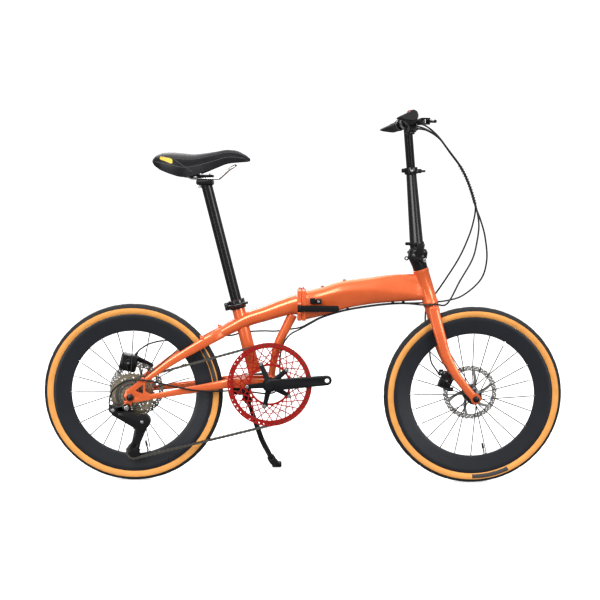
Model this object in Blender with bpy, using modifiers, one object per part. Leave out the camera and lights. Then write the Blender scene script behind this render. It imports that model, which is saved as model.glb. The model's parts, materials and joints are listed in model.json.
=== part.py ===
"""Folding bicycle with small wheels, single hinged frame and telescopic handlepost.

Metres, +Z up, forward is +X and the chain is on the -Y side. The origin is on the
ground, midway between the axles. The bicycle stands upright on both tyres and on
its kickstand, with the cranks level, the steering straight and nothing folded.
"""
from math import asin, atan2, ceil, copysign, cos, pi, radians, sin

import bmesh
import bpy
from mathutils import Matrix, Vector

# ------------------------------------------------------------------ dimensions
GAP = 0.0003                       # clearance between touching pieces
AXLE_X = 0.495                     # half the wheelbase
TYRE_R = 0.2605                    # outer radius of the tyre
TYRE_HALF = 0.0172                 # half the tyre's width
RIM_R = 0.2315                     # rim flange radius
RIM_IN = 0.1810                    # inner radius of the deep rim
ROTOR_R = 0.080
SPOKES = 24
REAR_DROP = 0.0665                 # inner face of the rear dropouts
FRONT_DROP = 0.0500                # inner face of the fork ends

BB = Vector((-0.098, 0, 0.296))    # crank axis
BB_R = 0.0200
CRANK_LEN = 0.165
CRANK_TILT = radians(5.5)
RING_TEETH = 58
COG_TEETH = 21
PITCH = 0.0127
CHAIN_Y = -0.045
RING_R = PITCH * RING_TEETH / (2 * pi)
COG_R = PITCH * COG_TEETH / (2 * pi)
PULLEY_R = 0.0202
GUIDE = Vector((-0.474, CHAIN_Y, 0.174))
TENSION = Vector((-0.490, CHAIN_Y, 0.0955))

POST_TOP = Vector((-0.286, 0, 0.876))      # saddle clamp, on the seatpost axis
POST_DIR = Vector((0.2504, 0, -0.9681))    # down the seatpost
POST_R = 0.0159
SEAT_TUBE_R = 0.0186

HINGE_X = -0.008                   # split plane of the frame hinge
HINGE_Y = 0.0405                   # frame hinge pin
STEER = Vector((0.3665, 0, 0.529))         # bottom of the head tube
STEER_DIR = Vector((-0.3007, 0, 0.9537))   # up the steerer
HEAD_R = 0.0215
HEAD_LEN = 0.1049
FOLD = Vector((0.326, 0, 0.6722))  # handlepost split, on the post's axis
FOLD_DIR = Vector((-cos(radians(8.5)), 0, sin(radians(8.5))))
FOLD_UP = Vector((sin(radians(8.5)), 0, cos(radians(8.5))))
FOLD_Y = 0.0325                    # handlepost hinge pin
MAST_DIR = Vector((-0.0970, 0, 0.9953))    # up the handlepost
MAST_FOOT = Vector((0.3899, 0, 0.0)) - Vector((0.0974, 0, -1)) * 0.690
MAST_IN = 0.0127                   # radius of the inner post
BAR = Vector((0.2879, 0, 1.048))   # centre of the handlebar
BAR_HALF = 0.262
BAR_R = 0.0110

REAR = Vector((-AXLE_X, 0, TYRE_R))
FRONT = Vector((AXLE_X, 0, TYRE_R))
AXIS_Y = Vector((0, 1, 0))
AXIS_Z = Vector((0, 0, 1))

COPPER = ((0.75, 0.20, 0.045, 1), 0.65, 0.28)
BLACK = ((0.012, 0.012, 0.014, 1), 0.2, 0.35)
SATIN = ((0.030, 0.032, 0.036, 1), 0.6, 0.40)
RUBBER = ((0.020, 0.020, 0.020, 1), 0.0, 0.80)
TAN = ((0.62, 0.38, 0.17, 1), 0.0, 0.70)
STEEL = ((0.62, 0.62, 0.62, 1), 1.0, 0.30)
RED = ((0.55, 0.015, 0.020, 1), 0.8, 0.30)

# ---------------------------------------------------------------- scene helpers
for old in list(bpy.data.objects):
    bpy.data.objects.remove(old, do_unlink=True)
parts = bpy.data.collections.new("folding_bicycle")
bpy.context.scene.collection.children.link(parts)


def bake(obj):
    """Turn an object with modifiers, or a curve, into a plain mesh object."""
    bpy.context.view_layer.update()
    graph = bpy.context.evaluated_depsgraph_get()
    mesh = bpy.data.meshes.new_from_object(obj.evaluated_get(graph))
    mesh.transform(obj.matrix_world)
    bm = bmesh.new()
    bm.from_mesh(mesh)
    bmesh.ops.remove_doubles(bm, verts=bm.verts, dist=0.000005)
    bm.to_mesh(mesh)
    bm.free()
    name = obj.name
    bpy.data.objects.remove(obj, do_unlink=True)
    return link(name, mesh)


def link(name, mesh):
    obj = bpy.data.objects.new(name, mesh)
    parts.objects.link(obj)
    return obj


def boolean(obj, others, operation):
    """Join or cut with the other objects, which are used up."""
    for other in others:
        other.hide_render = True
        other.display_type = "WIRE"
        mod = obj.modifiers.new(operation.lower(), "BOOLEAN")
        mod.operation = operation
        mod.solver = "EXACT"
        mod.object = other
    obj = bake(obj)
    for other in others:
        bpy.data.objects.remove(other, do_unlink=True)
    return obj


def plain(obj):
    """Merge the coplanar faces that a Boolean leaves."""
    bm = bmesh.new()
    bm.from_mesh(obj.data)
    bmesh.ops.dissolve_limit(bm, angle_limit=radians(0.3), verts=bm.verts, edges=bm.edges)
    bm.to_mesh(obj.data)
    bm.free()
    return obj


def join(*pieces):
    return boolean(pieces[0], list(pieces[1:]), "UNION")


def cut(obj, *cutters):
    return boolean(obj, list(cutters), "DIFFERENCE")


def aim(direction, origin=(0, 0, 0)):
    """Matrix that takes +Z to a direction and moves to an origin."""
    turn = AXIS_Z.rotation_difference(Vector(direction).normalized())
    return Matrix.Translation(origin) @ turn.to_matrix().to_4x4()


def cylinder(radius, start, end, sides=16, top=None):
    """A cylinder, or a cone when a top radius is given, between two points."""
    start, end = Vector(start), Vector(end)
    bm = bmesh.new()
    bmesh.ops.create_cone(
        bm, cap_ends=True, segments=sides, radius1=radius,
        radius2=radius if top is None else top, depth=(end - start).length,
        matrix=aim(end - start, (start + end) / 2),
    )
    mesh = bpy.data.meshes.new("cylinder")
    bm.to_mesh(mesh)
    bm.free()
    return link("cylinder", mesh)


def box(low, high, bevel=0.0, segments=1):
    """A box between two corners, with rounded edges."""
    low, high = Vector(low), Vector(high)
    size = high - low
    bm = bmesh.new()
    bmesh.ops.create_cube(
        bm, size=1,
        matrix=Matrix.Translation((low + high) / 2) @ Matrix.Diagonal((*size, 1)),
    )
    mesh = bpy.data.meshes.new("box")
    bm.to_mesh(mesh)
    bm.free()
    obj = link("box", mesh)
    if bevel:
        mod = obj.modifiers.new("bevel", "BEVEL")
        mod.width = bevel
        mod.segments = segments
        obj = bake(obj)
    return obj


def turned(obj, axis, angle, pivot):
    """Rotate a baked object's mesh about a line."""
    pivot = Vector(pivot)
    turn = Matrix.Rotation(angle, 4, axis)
    obj.data.transform(Matrix.Translation(pivot) @ turn @ Matrix.Translation(-pivot))
    return obj


def lathe(profile, centre, steps=48, axis=AXIS_Y):
    """A turned solid from (radius, height) pairs that run from the top down."""
    mesh = bpy.data.meshes.new("lathe")
    count = len(profile)
    closed = profile[0][0] > 0 and profile[-1][0] > 0
    edges = [(i, i + 1) for i in range(count - 1)]
    if closed:
        edges.append((count - 1, 0))
    mesh.from_pydata([(r, 0, h) for r, h in profile], edges, [])
    obj = link("lathe", mesh)
    mod = obj.modifiers.new("screw", "SCREW")
    mod.steps = steps
    mod.render_steps = steps
    mod.use_merge_vertices = True
    mod.merge_threshold = 0.00002
    mod.use_normal_calculate = closed
    obj = bake(obj)
    bm = bmesh.new()
    bm.from_mesh(obj.data)
    bmesh.ops.recalc_face_normals(bm, faces=bm.faces)
    bm.to_mesh(obj.data)
    bm.free()
    obj.data.transform(aim(axis, centre))
    return obj


def plate(outline, y0, y1, bevel=0.0):
    """A flat outline of (x, z) pairs, filled and extruded from y0 to y1."""
    curve = bpy.data.curves.new("plate", "CURVE")
    curve.dimensions = "2D"
    curve.fill_mode = "BOTH"
    curve.extrude = abs(y1 - y0) / 2
    spline = curve.splines.new("POLY")
    spline.points.add(len(outline) - 1)
    for point, (x, z) in zip(spline.points, outline):
        point.co = (x, z, 0, 1)
    spline.use_cyclic_u = True
    obj = bpy.data.objects.new("plate", curve)
    parts.objects.link(obj)
    obj.matrix_world = Matrix.Translation((0, (y0 + y1) / 2, 0)) @ Matrix.Rotation(pi / 2, 4, "X")
    obj = bake(obj)
    if bevel:
        mod = obj.modifiers.new("bevel", "BEVEL")
        mod.width = bevel
        mod.limit_method = "ANGLE"
        obj = bake(obj)
    return obj


def wire(points, radius, resolution=2, cyclic=False, radii=None):
    """A round tube along points, from a curve with filled caps."""
    curve = bpy.data.curves.new("wire", "CURVE")
    curve.dimensions = "3D"
    curve.bevel_depth = radius
    curve.bevel_resolution = resolution
    curve.use_fill_caps = not cyclic
    spline = curve.splines.new("POLY")
    spline.points.add(len(points) - 1)
    for i, point in enumerate(points):
        spline.points[i].co = (*point, 1)
        spline.points[i].radius = radii[i] if radii else 1.0
    spline.use_cyclic_u = cyclic
    obj = bpy.data.objects.new("wire", curve)
    parts.objects.link(obj)
    return bake(obj)


def smooth(points, step):
    """Points every step or so along a smooth curve through the given ones."""
    points = [Vector(p) for p in points]
    ends = [2 * points[0] - points[1], *points, 2 * points[-1] - points[-2]]
    out = []
    for a, b, c, d in zip(ends, ends[1:], ends[2:], ends[3:]):
        count = max(1, ceil((c - b).length / step))
        for i in range(count):
            t = i / count
            out.append(
                0.5 * (2 * b + (c - a) * t + (2 * a - 5 * b + 4 * c - d) * t * t
                       + (3 * b - a - 3 * c + d) * t ** 3)
            )
    return [*out, points[-1]]


def oval(power, count):
    """Unit outline between an ellipse (power 2) and a rounded box (power 4)."""
    out = []
    for i in range(count):
        a = 2 * pi * (i + 0.5) / count
        out.append((copysign(abs(cos(a)) ** (2 / power), cos(a)),
                    copysign(abs(sin(a)) ** (2 / power), sin(a))))
    return out


def loft(rings):
    """A closed body through rings of equally many points."""
    bm = bmesh.new()
    loops = [[bm.verts.new(p) for p in ring] for ring in rings]
    count = len(loops[0])
    for one, two in zip(loops, loops[1:]):
        for i in range(count):
            j = (i + 1) % count
            bm.faces.new((one[i], one[j], two[j], two[i]))
    bm.faces.new(list(reversed(loops[0])))
    bm.faces.new(loops[-1])
    bmesh.ops.recalc_face_normals(bm, faces=bm.faces)
    mesh = bpy.data.meshes.new("loft")
    bm.to_mesh(mesh)
    bm.free()
    return link("loft", mesh)


def sweep(stations, power=2.4, count=12, grow=0.0, side=AXIS_Y):
    """A tube of changing section: (point, half height, half width) stations."""
    points = [Vector(s[0]) for s in stations]
    rings = []
    for i, (point, high, wide) in enumerate(stations):
        ahead = points[min(i + 1, len(points) - 1)] - points[max(i - 1, 0)]
        up = side.cross(ahead).normalized()
        across = ahead.cross(up).normalized()
        rings.append([
            points[i] + across * (u * (wide + grow)) + up * (v * (high + grow))
            for u, v in oval(power, count)
        ])
    return loft(rings)


def finish(obj, name, look, origin=None, angle=35):
    """Name a piece, give it its material and put its origin on its axis."""
    obj.name = name
    obj.data.name = name
    colour, metal, rough = look
    mat = bpy.data.materials.new(name)
    mat.use_nodes = True
    shader = mat.node_tree.nodes["Principled BSDF"]
    shader.inputs["Base Color"].default_value = colour
    shader.inputs["Metallic"].default_value = metal
    shader.inputs["Roughness"].default_value = rough
    obj.data.materials.clear()
    obj.data.materials.append(mat)
    obj.data.shade_smooth()
    obj.data.set_sharp_from_angle(angle=radians(angle))
    if origin is not None:
        obj.data.transform(Matrix.Translation(-Vector(origin)))
        obj.location = origin
    return obj


def on_circle(centre, radius, angle, y):
    return Vector((centre.x + radius * cos(angle), y, centre.z + radius * sin(angle)))


def mast(height):
    """Point on the handlepost's axis at a height above the ground."""
    return MAST_FOOT + MAST_DIR * ((height - MAST_FOOT.z) / MAST_DIR.z)


def post(distance):
    """Point on the seatpost's axis at a distance below its top."""
    return POST_TOP + POST_DIR * distance


def steer(distance):
    return STEER + STEER_DIR * distance


# ---------------------------------------------------------------------- wheels
def tyre(name, centre):
    rim = RIM_R + GAP
    middle = TYRE_R - TYRE_HALF
    start = asin((middle - rim) / TYRE_HALF)
    profile = []
    for i in range(7):
        a = pi / 2 + start - (pi + 2 * start) * i / 6
        profile.append((middle + TYRE_HALF * cos(a), TYRE_HALF * sin(a)))
    finish(lathe(profile, centre, 36), name, TAN, centre)


def rim(name, centre):
    outer = RIM_R
    profile = [(outer, 0.0112), (outer, -0.0112), (outer - 0.010, -0.0118),
               (RIM_IN, -0.0035), (RIM_IN, 0.0035), (outer - 0.010, 0.0118)]
    body = lathe(profile, centre, 36)
    lean = radians(-77)
    valve = cylinder(0.0030, on_circle(centre, RIM_IN + 0.004, lean, 0),
                     on_circle(centre, RIM_IN - 0.032, lean, 0), 10)
    finish(join(body, valve), name, SATIN, centre)


def hub(name, centre, profile, left, right, axle):
    body = lathe(profile, centre, 14)
    spokes = []
    for i in range(SPOKES):
        y = left if i % 2 else right
        a = 2 * pi * i / SPOKES
        way = 1 if (i // 2) % 2 else -1
        inner = on_circle(centre, 0.0172, a + radians(23) * way, y + 0.0007 * way)
        outer = on_circle(centre, RIM_IN - 0.0013, a, y * 0.08)
        spokes.append(cylinder(0.0012, inner, outer, 3))
    body = join(body, *spokes)
    bore = cylinder(axle + GAP, centre - AXIS_Y * 0.09, centre + AXIS_Y * 0.09, 16)
    finish(cut(body, bore), name, BLACK, centre)


def rotor(name, centre, y, bore):
    middle = Vector((centre.x, y, centre.z))
    band = lathe([(ROTOR_R, 0.0009), (ROTOR_R, -0.0009), (0.0665, -0.0009), (0.0665, 0.0009)],
                 middle, 24)
    ring = lathe([(0.0235, 0.0008), (0.0235, -0.0008), (bore, -0.0008), (bore, 0.0008)],
                 middle, 18)
    arms = []
    for i in range(6):
        a = 2 * pi * i / 6
        ends = [on_circle(middle, 0.0215, a, y), on_circle(middle, 0.0685, a + 0.42, y)]
        arm = wire(ends, 0.0030, 0)
        arm.data.transform(
            Matrix.Translation((0, y, 0)) @ Matrix.Diagonal((1, 0.25, 1, 1))
            @ Matrix.Translation((0, -y, 0))
        )
        arms.append(arm)
    holes = [
        cylinder(0.0024, on_circle(middle, 0.0735, 2 * pi * i / 6 + 0.1, y - 0.01),
                 on_circle(middle, 0.0735, 2 * pi * i / 6 + 0.1, y + 0.01), 3)
        for i in range(6)
    ]
    body = plain(cut(join(band, ring, *arms), *holes))
    finish(body, name, STEEL, centre)


def axle(name, centre, radius, half, nut):
    """A through axle with a flanged nut outside each dropout."""
    near = half + GAP
    side = [(0.0, near + 0.0115), (nut * 0.55, near + 0.0105), (nut * 0.60, near + 0.0075),
            (nut, near + 0.0070), (nut, near), (radius, near)]
    profile = side + [(r, -h) for r, h in reversed(side)]
    finish(lathe(profile, centre, 14), name, BLACK, centre)


REAR_HUB = [(0.0085, 0.0660), (0.0138, 0.0640), (0.0138, 0.0360), (0.0240, 0.0340),
            (0.0240, 0.0300), (0.0150, 0.0270), (0.0150, -0.0240), (0.0240, -0.0260),
            (0.0240, -0.0300), (0.0160, -0.0320), (0.0160, -0.0620), (0.0085, -0.0660),
            (0.0030, -0.0660), (0.0030, 0.0660)]
FRONT_HUB = [(0.0085, 0.0496), (0.0130, 0.0480), (0.0130, 0.0320), (0.0230, 0.0300),
             (0.0230, 0.0270), (0.0125, 0.0240), (0.0125, -0.0240), (0.0230, -0.0270),
             (0.0230, -0.0300), (0.0125, -0.0320), (0.0085, -0.0496), (0.0030, -0.0496),
             (0.0030, 0.0496)]

for which, centre in (("rear", REAR), ("front", FRONT)):
    tyre(which + "_tyre", centre)
    rim(which + "_rim", centre)
hub("rear_hub", REAR, REAR_HUB, 0.0320, -0.0280, 0.0050)
hub("front_hub", FRONT, FRONT_HUB, 0.0285, -0.0285, 0.0045)
rotor("rear_rotor", REAR, 0.0520, 0.0146)
rotor("front_rotor", FRONT, 0.0400, 0.0138)
axle("rear_axle", REAR, 0.0050, REAR_DROP + 0.0050, 0.0100)
axle("front_axle", FRONT, 0.0045, FRONT_DROP + 0.0090, 0.0092)

# ------------------------------------------------------------------ rear frame
MAIN = [((-0.0185, 0, 0.5240), 0.0300, 0.0265), ((-0.050, 0, 0.5175), 0.0250, 0.0262),
        ((-0.110, 0, 0.4970), 0.0218, 0.0258), ((-0.160, 0, 0.4805), 0.0208, 0.0255),
        ((-0.200, 0, 0.4610), 0.0185, 0.0255), ((-0.236, 0, 0.4415), 0.0160, 0.0250)]
BRACE = [((-0.030, 0, 0.4960), 0.0140, 0.0135), ((-0.052, 0, 0.4560), 0.0135, 0.0130),
         ((-0.074, 0, 0.4100), 0.0125, 0.0125), ((-0.087, 0, 0.3600), 0.0110, 0.0120),
         ((-0.0935, 0, 0.3080), 0.0095, 0.0120)]


def knuckle(low, high, side):
    """A hinge leaf's knuckle and its arm; side -1 is the rear frame's."""
    body = cylinder(0.0080, (HINGE_X, HINGE_Y, low), (HINGE_X, HINGE_Y, high), 14)
    near, far = HINGE_X + side * 0.0002, HINGE_X + side * 0.0078
    arm = box((min(near, far), 0.0270, low + 0.0004),
              (max(near, far), HINGE_Y - 0.0050, high - 0.0004))
    return body, arm


def hinge_bore():
    return cylinder(0.0044, (HINGE_X, HINGE_Y, 0.46), (HINGE_X, HINGE_Y, 0.60), 12)


def seat_bore(radius):
    return cylinder(radius, post(0.30), post(0.62), 20)


leaf = box((-0.0205, -0.0310, 0.4790), (HINGE_X - 0.0002, 0.0310, 0.5670), 0.0030)
ears = [box((-0.0200, -0.0470, low), (HINGE_X - 0.0010, -0.0290, low + 0.0045))
        for low in (0.5005, 0.5262)]
LATCH = Vector((-0.0140, -0.0400, 0.5155))
latch_pin = cylinder(0.0022, LATCH - AXIS_Z * 0.0140, LATCH + AXIS_Z * 0.0140, 10)
rear_tube = join(sweep(MAIN), leaf, *knuckle(0.5030, 0.5430, -1), *ears, latch_pin)
finish(
    cut(rear_tube, seat_bore(SEAT_TUBE_R + GAP), hinge_bore()), "rear_main_tube", COPPER)

finish(cut(cylinder(SEAT_TUBE_R, post(0.352), post(0.572), 20), seat_bore(POST_R + GAP)),
       "seat_tube", COPPER)

half = [(0.0, 0.0475), (0.0058, 0.0475), (0.0065, 0.0468), (0.0065, 0.0444), (0.0040, 0.0444)]
pin = lathe(half + [(r, -h) for r, h in reversed(half)], (HINGE_X, HINGE_Y, 0.5230), 16, AXIS_Z)
finish(pin, "frame_hinge_pin", STEEL)

shell = lathe([(BB_R, 0.0340), (BB_R, -0.0340), (0.0128, -0.0340), (0.0128, 0.0340)], BB, 24)
finish(shell, "bottom_bracket_shell", COPPER)

brace = cut(sweep(BRACE), sweep(MAIN, grow=GAP),
            box((-0.0208, -0.05, 0.4787), (0.02, 0.05, 0.60)),
            cylinder(BB_R + GAP, BB - AXIS_Y * 0.05, BB + AXIS_Y * 0.05, 24))
finish(brace, "brace_tube", COPPER)

STAY = [((-0.2365, 0.0150, 0.4410), 0.0155, 0.0085), ((-0.262, 0.0270, 0.4280), 0.0150, 0.0075),
        ((-0.300, 0.0345, 0.4070), 0.0140, 0.0065), ((-0.380, 0.0500, 0.3600), 0.0110, 0.0060),
        ((-0.435, 0.0630, 0.3210), 0.0080, 0.0050), ((-0.466, 0.0690, 0.2980), 0.0060, 0.0040)]


def mirrored(stations):
    return [((x, -y, z), high, wide) for (x, y, z), high, wide in stations]


block = sweep([((-0.2367, 0, 0.4411), 0.0158, 0.0248), ((-0.2500, 0, 0.4339), 0.0150, 0.0262)],
              3.0)
stays = join(block, sweep(STAY, 2.6, 12), sweep(mirrored(STAY), 2.6, 12))
ends = box((-0.5000, -0.0900, 0.2500), (-0.4520 + GAP, 0.0900, 0.3400))
stays = cut(stays, sweep(MAIN, grow=GAP), seat_bore(SEAT_TUBE_R + GAP), ends)
finish(stays, "seatstays", COPPER)

CHAINSTAY = [((-0.185, 0.0285, 0.2955), 0.0130, 0.0060), ((-0.225, 0.0300, 0.2935), 0.0130, 0.0060),
             ((-0.300, 0.0415, 0.2820), 0.0105, 0.0055), ((-0.380, 0.0580, 0.2700), 0.0090, 0.0042),
             ((-0.440, 0.0690, 0.2610), 0.0080, 0.0040)]
DROPOUT = [(-0.504, 0.2430), (-0.470, 0.2470), (-0.436, 0.2540), (-0.436, 0.2680),
           (-0.452, 0.2780), (-0.452, 0.3150), (-0.460, 0.3180), (-0.482, 0.2980),
           (-0.507, 0.2800), (-0.513, 0.2640)]
WINDOW = [(-0.4585, 0.2700), (-0.4585, 0.2970), (-0.4760, 0.2830), (-0.4790, 0.2780)]
pieces = [sweep(CHAINSTAY, 2.8, 12), sweep(mirrored(CHAINSTAY), 2.8, 12)]
pieces.append(box((-0.2220, -0.0345, 0.2815), (-0.1660, 0.0345, 0.3085), 0.0020))
for side in (-1, 1):
    inner, outer = side * REAR_DROP, side * (REAR_DROP + 0.0050)
    pieces.append(plate(DROPOUT, min(inner, outer), max(inner, outer)))
    pieces.append(box((-0.2000, side * 0.0285 - 0.0055, 0.2835),
                      (-0.1000, side * 0.0285 + 0.0055, 0.3085)))
pieces.append(plate([(-0.512, 0.2500), (-0.490, 0.2450), (-0.494, 0.2255), (-0.512, 0.2260)],
                    -REAR_DROP - 0.0048, -REAR_DROP - 0.0002))
holes = [plate(WINDOW, -0.09, 0.09),
         cylinder(0.0053, REAR - AXIS_Y * 0.09, REAR + AXIS_Y * 0.09, 16),
         cylinder(BB_R + GAP, BB - AXIS_Y * 0.05, BB + AXIS_Y * 0.05, 24),
         cylinder(0.0034, (-0.5035, -0.09, 0.2320), (-0.5035, -0.05, 0.2320), 16)]
finish(plain(cut(join(*pieces), *holes)), "chainstays", COPPER)

COLLAR = post(0.3650)
TILT = atan2(POST_DIR.x, -POST_DIR.z)
ear = turned(box((COLLAR.x - 0.0370, -0.0080, COLLAR.z - 0.0110),
                 (COLLAR.x - 0.0160, 0.0080, COLLAR.z + 0.0110), 0.0015), "Y", -TILT, COLLAR)
slit = turned(box((COLLAR.x - 0.0500, -0.0010, COLLAR.z - 0.0300),
                  (COLLAR.x - 0.0100, 0.0010, COLLAR.z + 0.0300)), "Y", -TILT, COLLAR)
collar = join(cylinder(0.0238, post(0.3520), post(0.3780), 16), ear)
finish(cut(collar, seat_bore(SEAT_TUBE_R + GAP), slit), "seat_clamp", BLACK)

# the lever turns on the seat clamp about a line along the seatpost
ACROSS = POST_DIR.cross(AXIS_Y).normalized()       # points back, square to the post
if ACROSS.x > 0:
    ACROSS = -ACROSS
SEAT_PIVOT = COLLAR + ACROSS * 0.0310 - AXIS_Y * 0.0135
grip_points = [(0.0310, -0.0135), (0.0180, -0.0290), (-0.0020, -0.0335), (-0.0200, -0.0330),
               (-0.0330, -0.0290)]
arm = wire([COLLAR + ACROSS * a + AXIS_Y * y for a, y in grip_points], 0.0045, 2,
           radii=[0.8, 1.0, 1.0, 1.0, 0.8])
boss = cylinder(0.0052, SEAT_PIVOT - POST_DIR * 0.0085, SEAT_PIVOT + POST_DIR * 0.0085, 16)
finish(join(boss, arm), "seat_clamp_lever", BLACK, SEAT_PIVOT)

# ------------------------------------------------------------- seatpost, saddle
LAYBACK = POST_TOP.x - 0.0010
column = cylinder(POST_R, post(0.0080), post(0.5000), 20)
cradle = [
    box((LAYBACK - 0.0240, -0.0270, 0.8660), (LAYBACK + 0.0240, 0.0270, 0.8784), 0.0020),
    box((LAYBACK - 0.0220, -0.0178, 0.8640), (LAYBACK + 0.0220, 0.0178, 0.8930), 0.0010),
    box((LAYBACK - 0.0240, -0.0270, 0.8867), (LAYBACK + 0.0240, 0.0270, 0.8935), 0.0020),
    cylinder(0.0042, (LAYBACK - 0.0150, 0, 0.8560), (LAYBACK - 0.0150, 0, 0.8980), 12),
    cylinder(0.0042, (LAYBACK + 0.0150, 0, 0.8540), (LAYBACK + 0.0150, 0, 0.8980), 12),
]
finish(join(column, *cradle), "seatpost", BLACK)

NOSE = [(-0.2000, 0.0045, 0.9205), (-0.2040, 0.0110, 0.9190), (-0.2200, 0.0185, 0.9080),
        (-0.2480, 0.0222, 0.8826), (-0.3240, 0.0222, 0.8826), (-0.3550, 0.0260, 0.8960),
        (-0.3850, 0.0330, 0.9180)]
loop = [(x, -y, z) for x, y, z in reversed(NOSE)] + NOSE
finish(wire(loop, 0.0035, 3), "saddle_rails", STEEL)

SADDLE = [(-0.433, 0.036, 0.936, 0.926), (-0.426, 0.056, 0.946, 0.917),
          (-0.407, 0.068, 0.954, 0.904), (-0.375, 0.073, 0.956, 0.892),
          (-0.345, 0.070, 0.954, 0.885), (-0.317, 0.058, 0.952, 0.890),
          (-0.290, 0.044, 0.955, 0.900), (-0.260, 0.033, 0.960, 0.912),
          (-0.226, 0.025, 0.966, 0.925), (-0.195, 0.021, 0.962, 0.929),
          (-0.170, 0.017, 0.950, 0.931), (-0.159, 0.010, 0.941, 0.933)]
CROWN = [(-1.0, 0.0), (-1.0, 0.35), (-0.92, 0.68), (-0.70, 0.90), (-0.38, 0.985), (0.0, 0.97),
         (0.38, 0.985), (0.70, 0.90), (0.92, 0.68), (1.0, 0.35), (1.0, 0.0)]


def saddle_rings(stations, inset, sink):
    """Sections of the saddle, or of its hollow when inset and sunk."""
    rings = []
    for x, wide, top, low in stations:
        span = top - inset - (low - sink)
        across = wide - inset * 0.55
        rings.append([(x, across * u, low - sink + span * v) for u, v in CROWN])
    return rings


seat = loft(saddle_rings(SADDLE, 0.0, 0.0))
hollow = loft(saddle_rings(SADDLE[2:9], 0.0200, 0.0300))
finish(cut(seat, hollow), "saddle", BLACK, angle=50)

# ------------------------------------------------------------------ front frame
BEAM = [((-0.0060, 0, 0.5195), 0.0415, 0.0280), ((0.0520, 0, 0.5330), 0.0405, 0.0270),
        ((0.1160, 0, 0.5530), 0.0400, 0.0260), ((0.1900, 0, 0.5650), 0.0385, 0.0255),
        ((0.2560, 0, 0.5725), 0.0395, 0.0250), ((0.3150, 0, 0.5760), 0.0390, 0.0245),
        ((0.3500, 0, 0.5785), 0.0380, 0.0200)]
leaf = box((HINGE_X + 0.0002, -0.0310, 0.4790), (0.0045, 0.0310, 0.5670), 0.0030)
beam = join(sweep(BEAM, 2.7), leaf, *knuckle(0.4790, 0.5025, 1), *knuckle(0.5435, 0.5670, 1))
beam = cut(beam, hinge_bore(),
           cylinder(HEAD_R + GAP, steer(-0.03), steer(HEAD_LEN + 0.03), 24),
           box((-0.0300, -0.05, 0.40), (HINGE_X + 0.0001, 0.0312, 0.60)))
finish(beam, "front_main_tube", COPPER, (HINGE_X, HINGE_Y, 0.523))

head = cut(cylinder(HEAD_R, STEER, steer(HEAD_LEN), 24),
           cylinder(0.0150, steer(-0.01), steer(HEAD_LEN + 0.01), 16))
finish(head, "head_tube", COPPER)

catch = join(box((0.0160, -0.0380, 0.5290), (0.0300, -0.0200, 0.5460), 0.0015),
             box((0.0340, -0.0390, 0.5280), (0.0480, -0.0200, 0.5440), 0.0020),
             box((0.0200, -0.0330, 0.5300), (0.0460, -0.0200, 0.5400)),
             cylinder(0.0030, (0.0400, -0.0420, 0.5360), (0.0400, -0.0300, 0.5360), 12))
finish(cut(catch, sweep(BEAM, 2.7, grow=GAP)), "hinge_catch", BLACK)

lever = [cylinder(0.0062, LATCH - AXIS_Z * 0.0100, LATCH + AXIS_Z * 0.0100, 16)]
lever.append(plate([(-0.0140, 0.5065), (0.0950, 0.5065), (0.0985, 0.5100), (0.0985, 0.5210),
                    (0.0950, 0.5245), (-0.0140, 0.5245)], -0.0430, -0.0350, 0.0015))
lever = cut(join(*lever), cylinder(0.0026, LATCH - AXIS_Z * 0.02, LATCH + AXIS_Z * 0.02, 12),
            box((-0.03, -0.0372, 0.49), (-0.0075, -0.030, 0.54)))
finish(lever, "frame_latch_lever", BLACK, LATCH)

# ----------------------------------------------------------- fork and handlepost
LEG = [((0.3720, 0.0290, 0.5120), 0.0160, 0.0085), ((0.3800, 0.0335, 0.4790), 0.0165, 0.0085),
       ((0.3920, 0.0400, 0.4370), 0.0155, 0.0080), ((0.4080, 0.0465, 0.3860), 0.0140, 0.0070),
       ((0.4360, 0.0530, 0.3320), 0.0125, 0.0058), ((0.4620, 0.0545, 0.2970), 0.0115, 0.0046),
       ((0.4950, 0.0545, 0.2580), 0.0115, 0.0044)]
pieces = [
    cylinder(0.0205, steer(-0.0260), steer(-0.0040), 18),
    cylinder(0.0215, steer(-0.0045), steer(-GAP), 18),
    cylinder(0.0142, steer(-0.0100), steer(HEAD_LEN - 0.0005), 14),
    box((0.3580, -0.0350, 0.5000), (0.3880, 0.0350, 0.5230), 0.0040),
    sweep(LEG, 2.4, 10),
    sweep(mirrored(LEG), 2.4, 10),
]
for side in (-1, 1):
    inner, outer = side * FRONT_DROP, side * (FRONT_DROP + 0.0090)
    pieces.append(cylinder(0.0150, FRONT + AXIS_Y * inner, FRONT + AXIS_Y * outer, 16))
bore = cylinder(0.0048, FRONT - AXIS_Y * 0.09, FRONT + AXIS_Y * 0.09, 16)
finish(cut(join(*pieces), bore), "fork", COPPER, STEER)


def fold(along, y, up):
    """Point by the handlepost hinge: along its pin, across, and square to its split."""
    return FOLD + FOLD_DIR * along + AXIS_Y * y + FOLD_UP * up


def fold_ring(up, half_x, half_y, power=3.2, count=16):
    return [fold(u * half_x, v * half_y, up) for u, v in oval(power, count)]


def fold_box(low, high):
    """A box in the handlepost hinge's own directions."""
    corners = [[fold(x, y, up) for x, y in ((low[0], low[1]), (high[0], low[1]),
                                            (high[0], high[1]), (low[0], high[1]))]
               for up in (low[2], high[2])]
    return loft(corners)


def steer_ring(distance, radius, count=16):
    centre = steer(distance)
    across = AXIS_Y.cross(STEER_DIR).normalized()
    return [centre - across * (radius * u) + AXIS_Y * (radius * v) for u, v in oval(2, count)]


def fold_pin(radius, low, high, sides=16):
    return cylinder(radius, fold(low, FOLD_Y, 0), fold(high, FOLD_Y, 0), sides)


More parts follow.
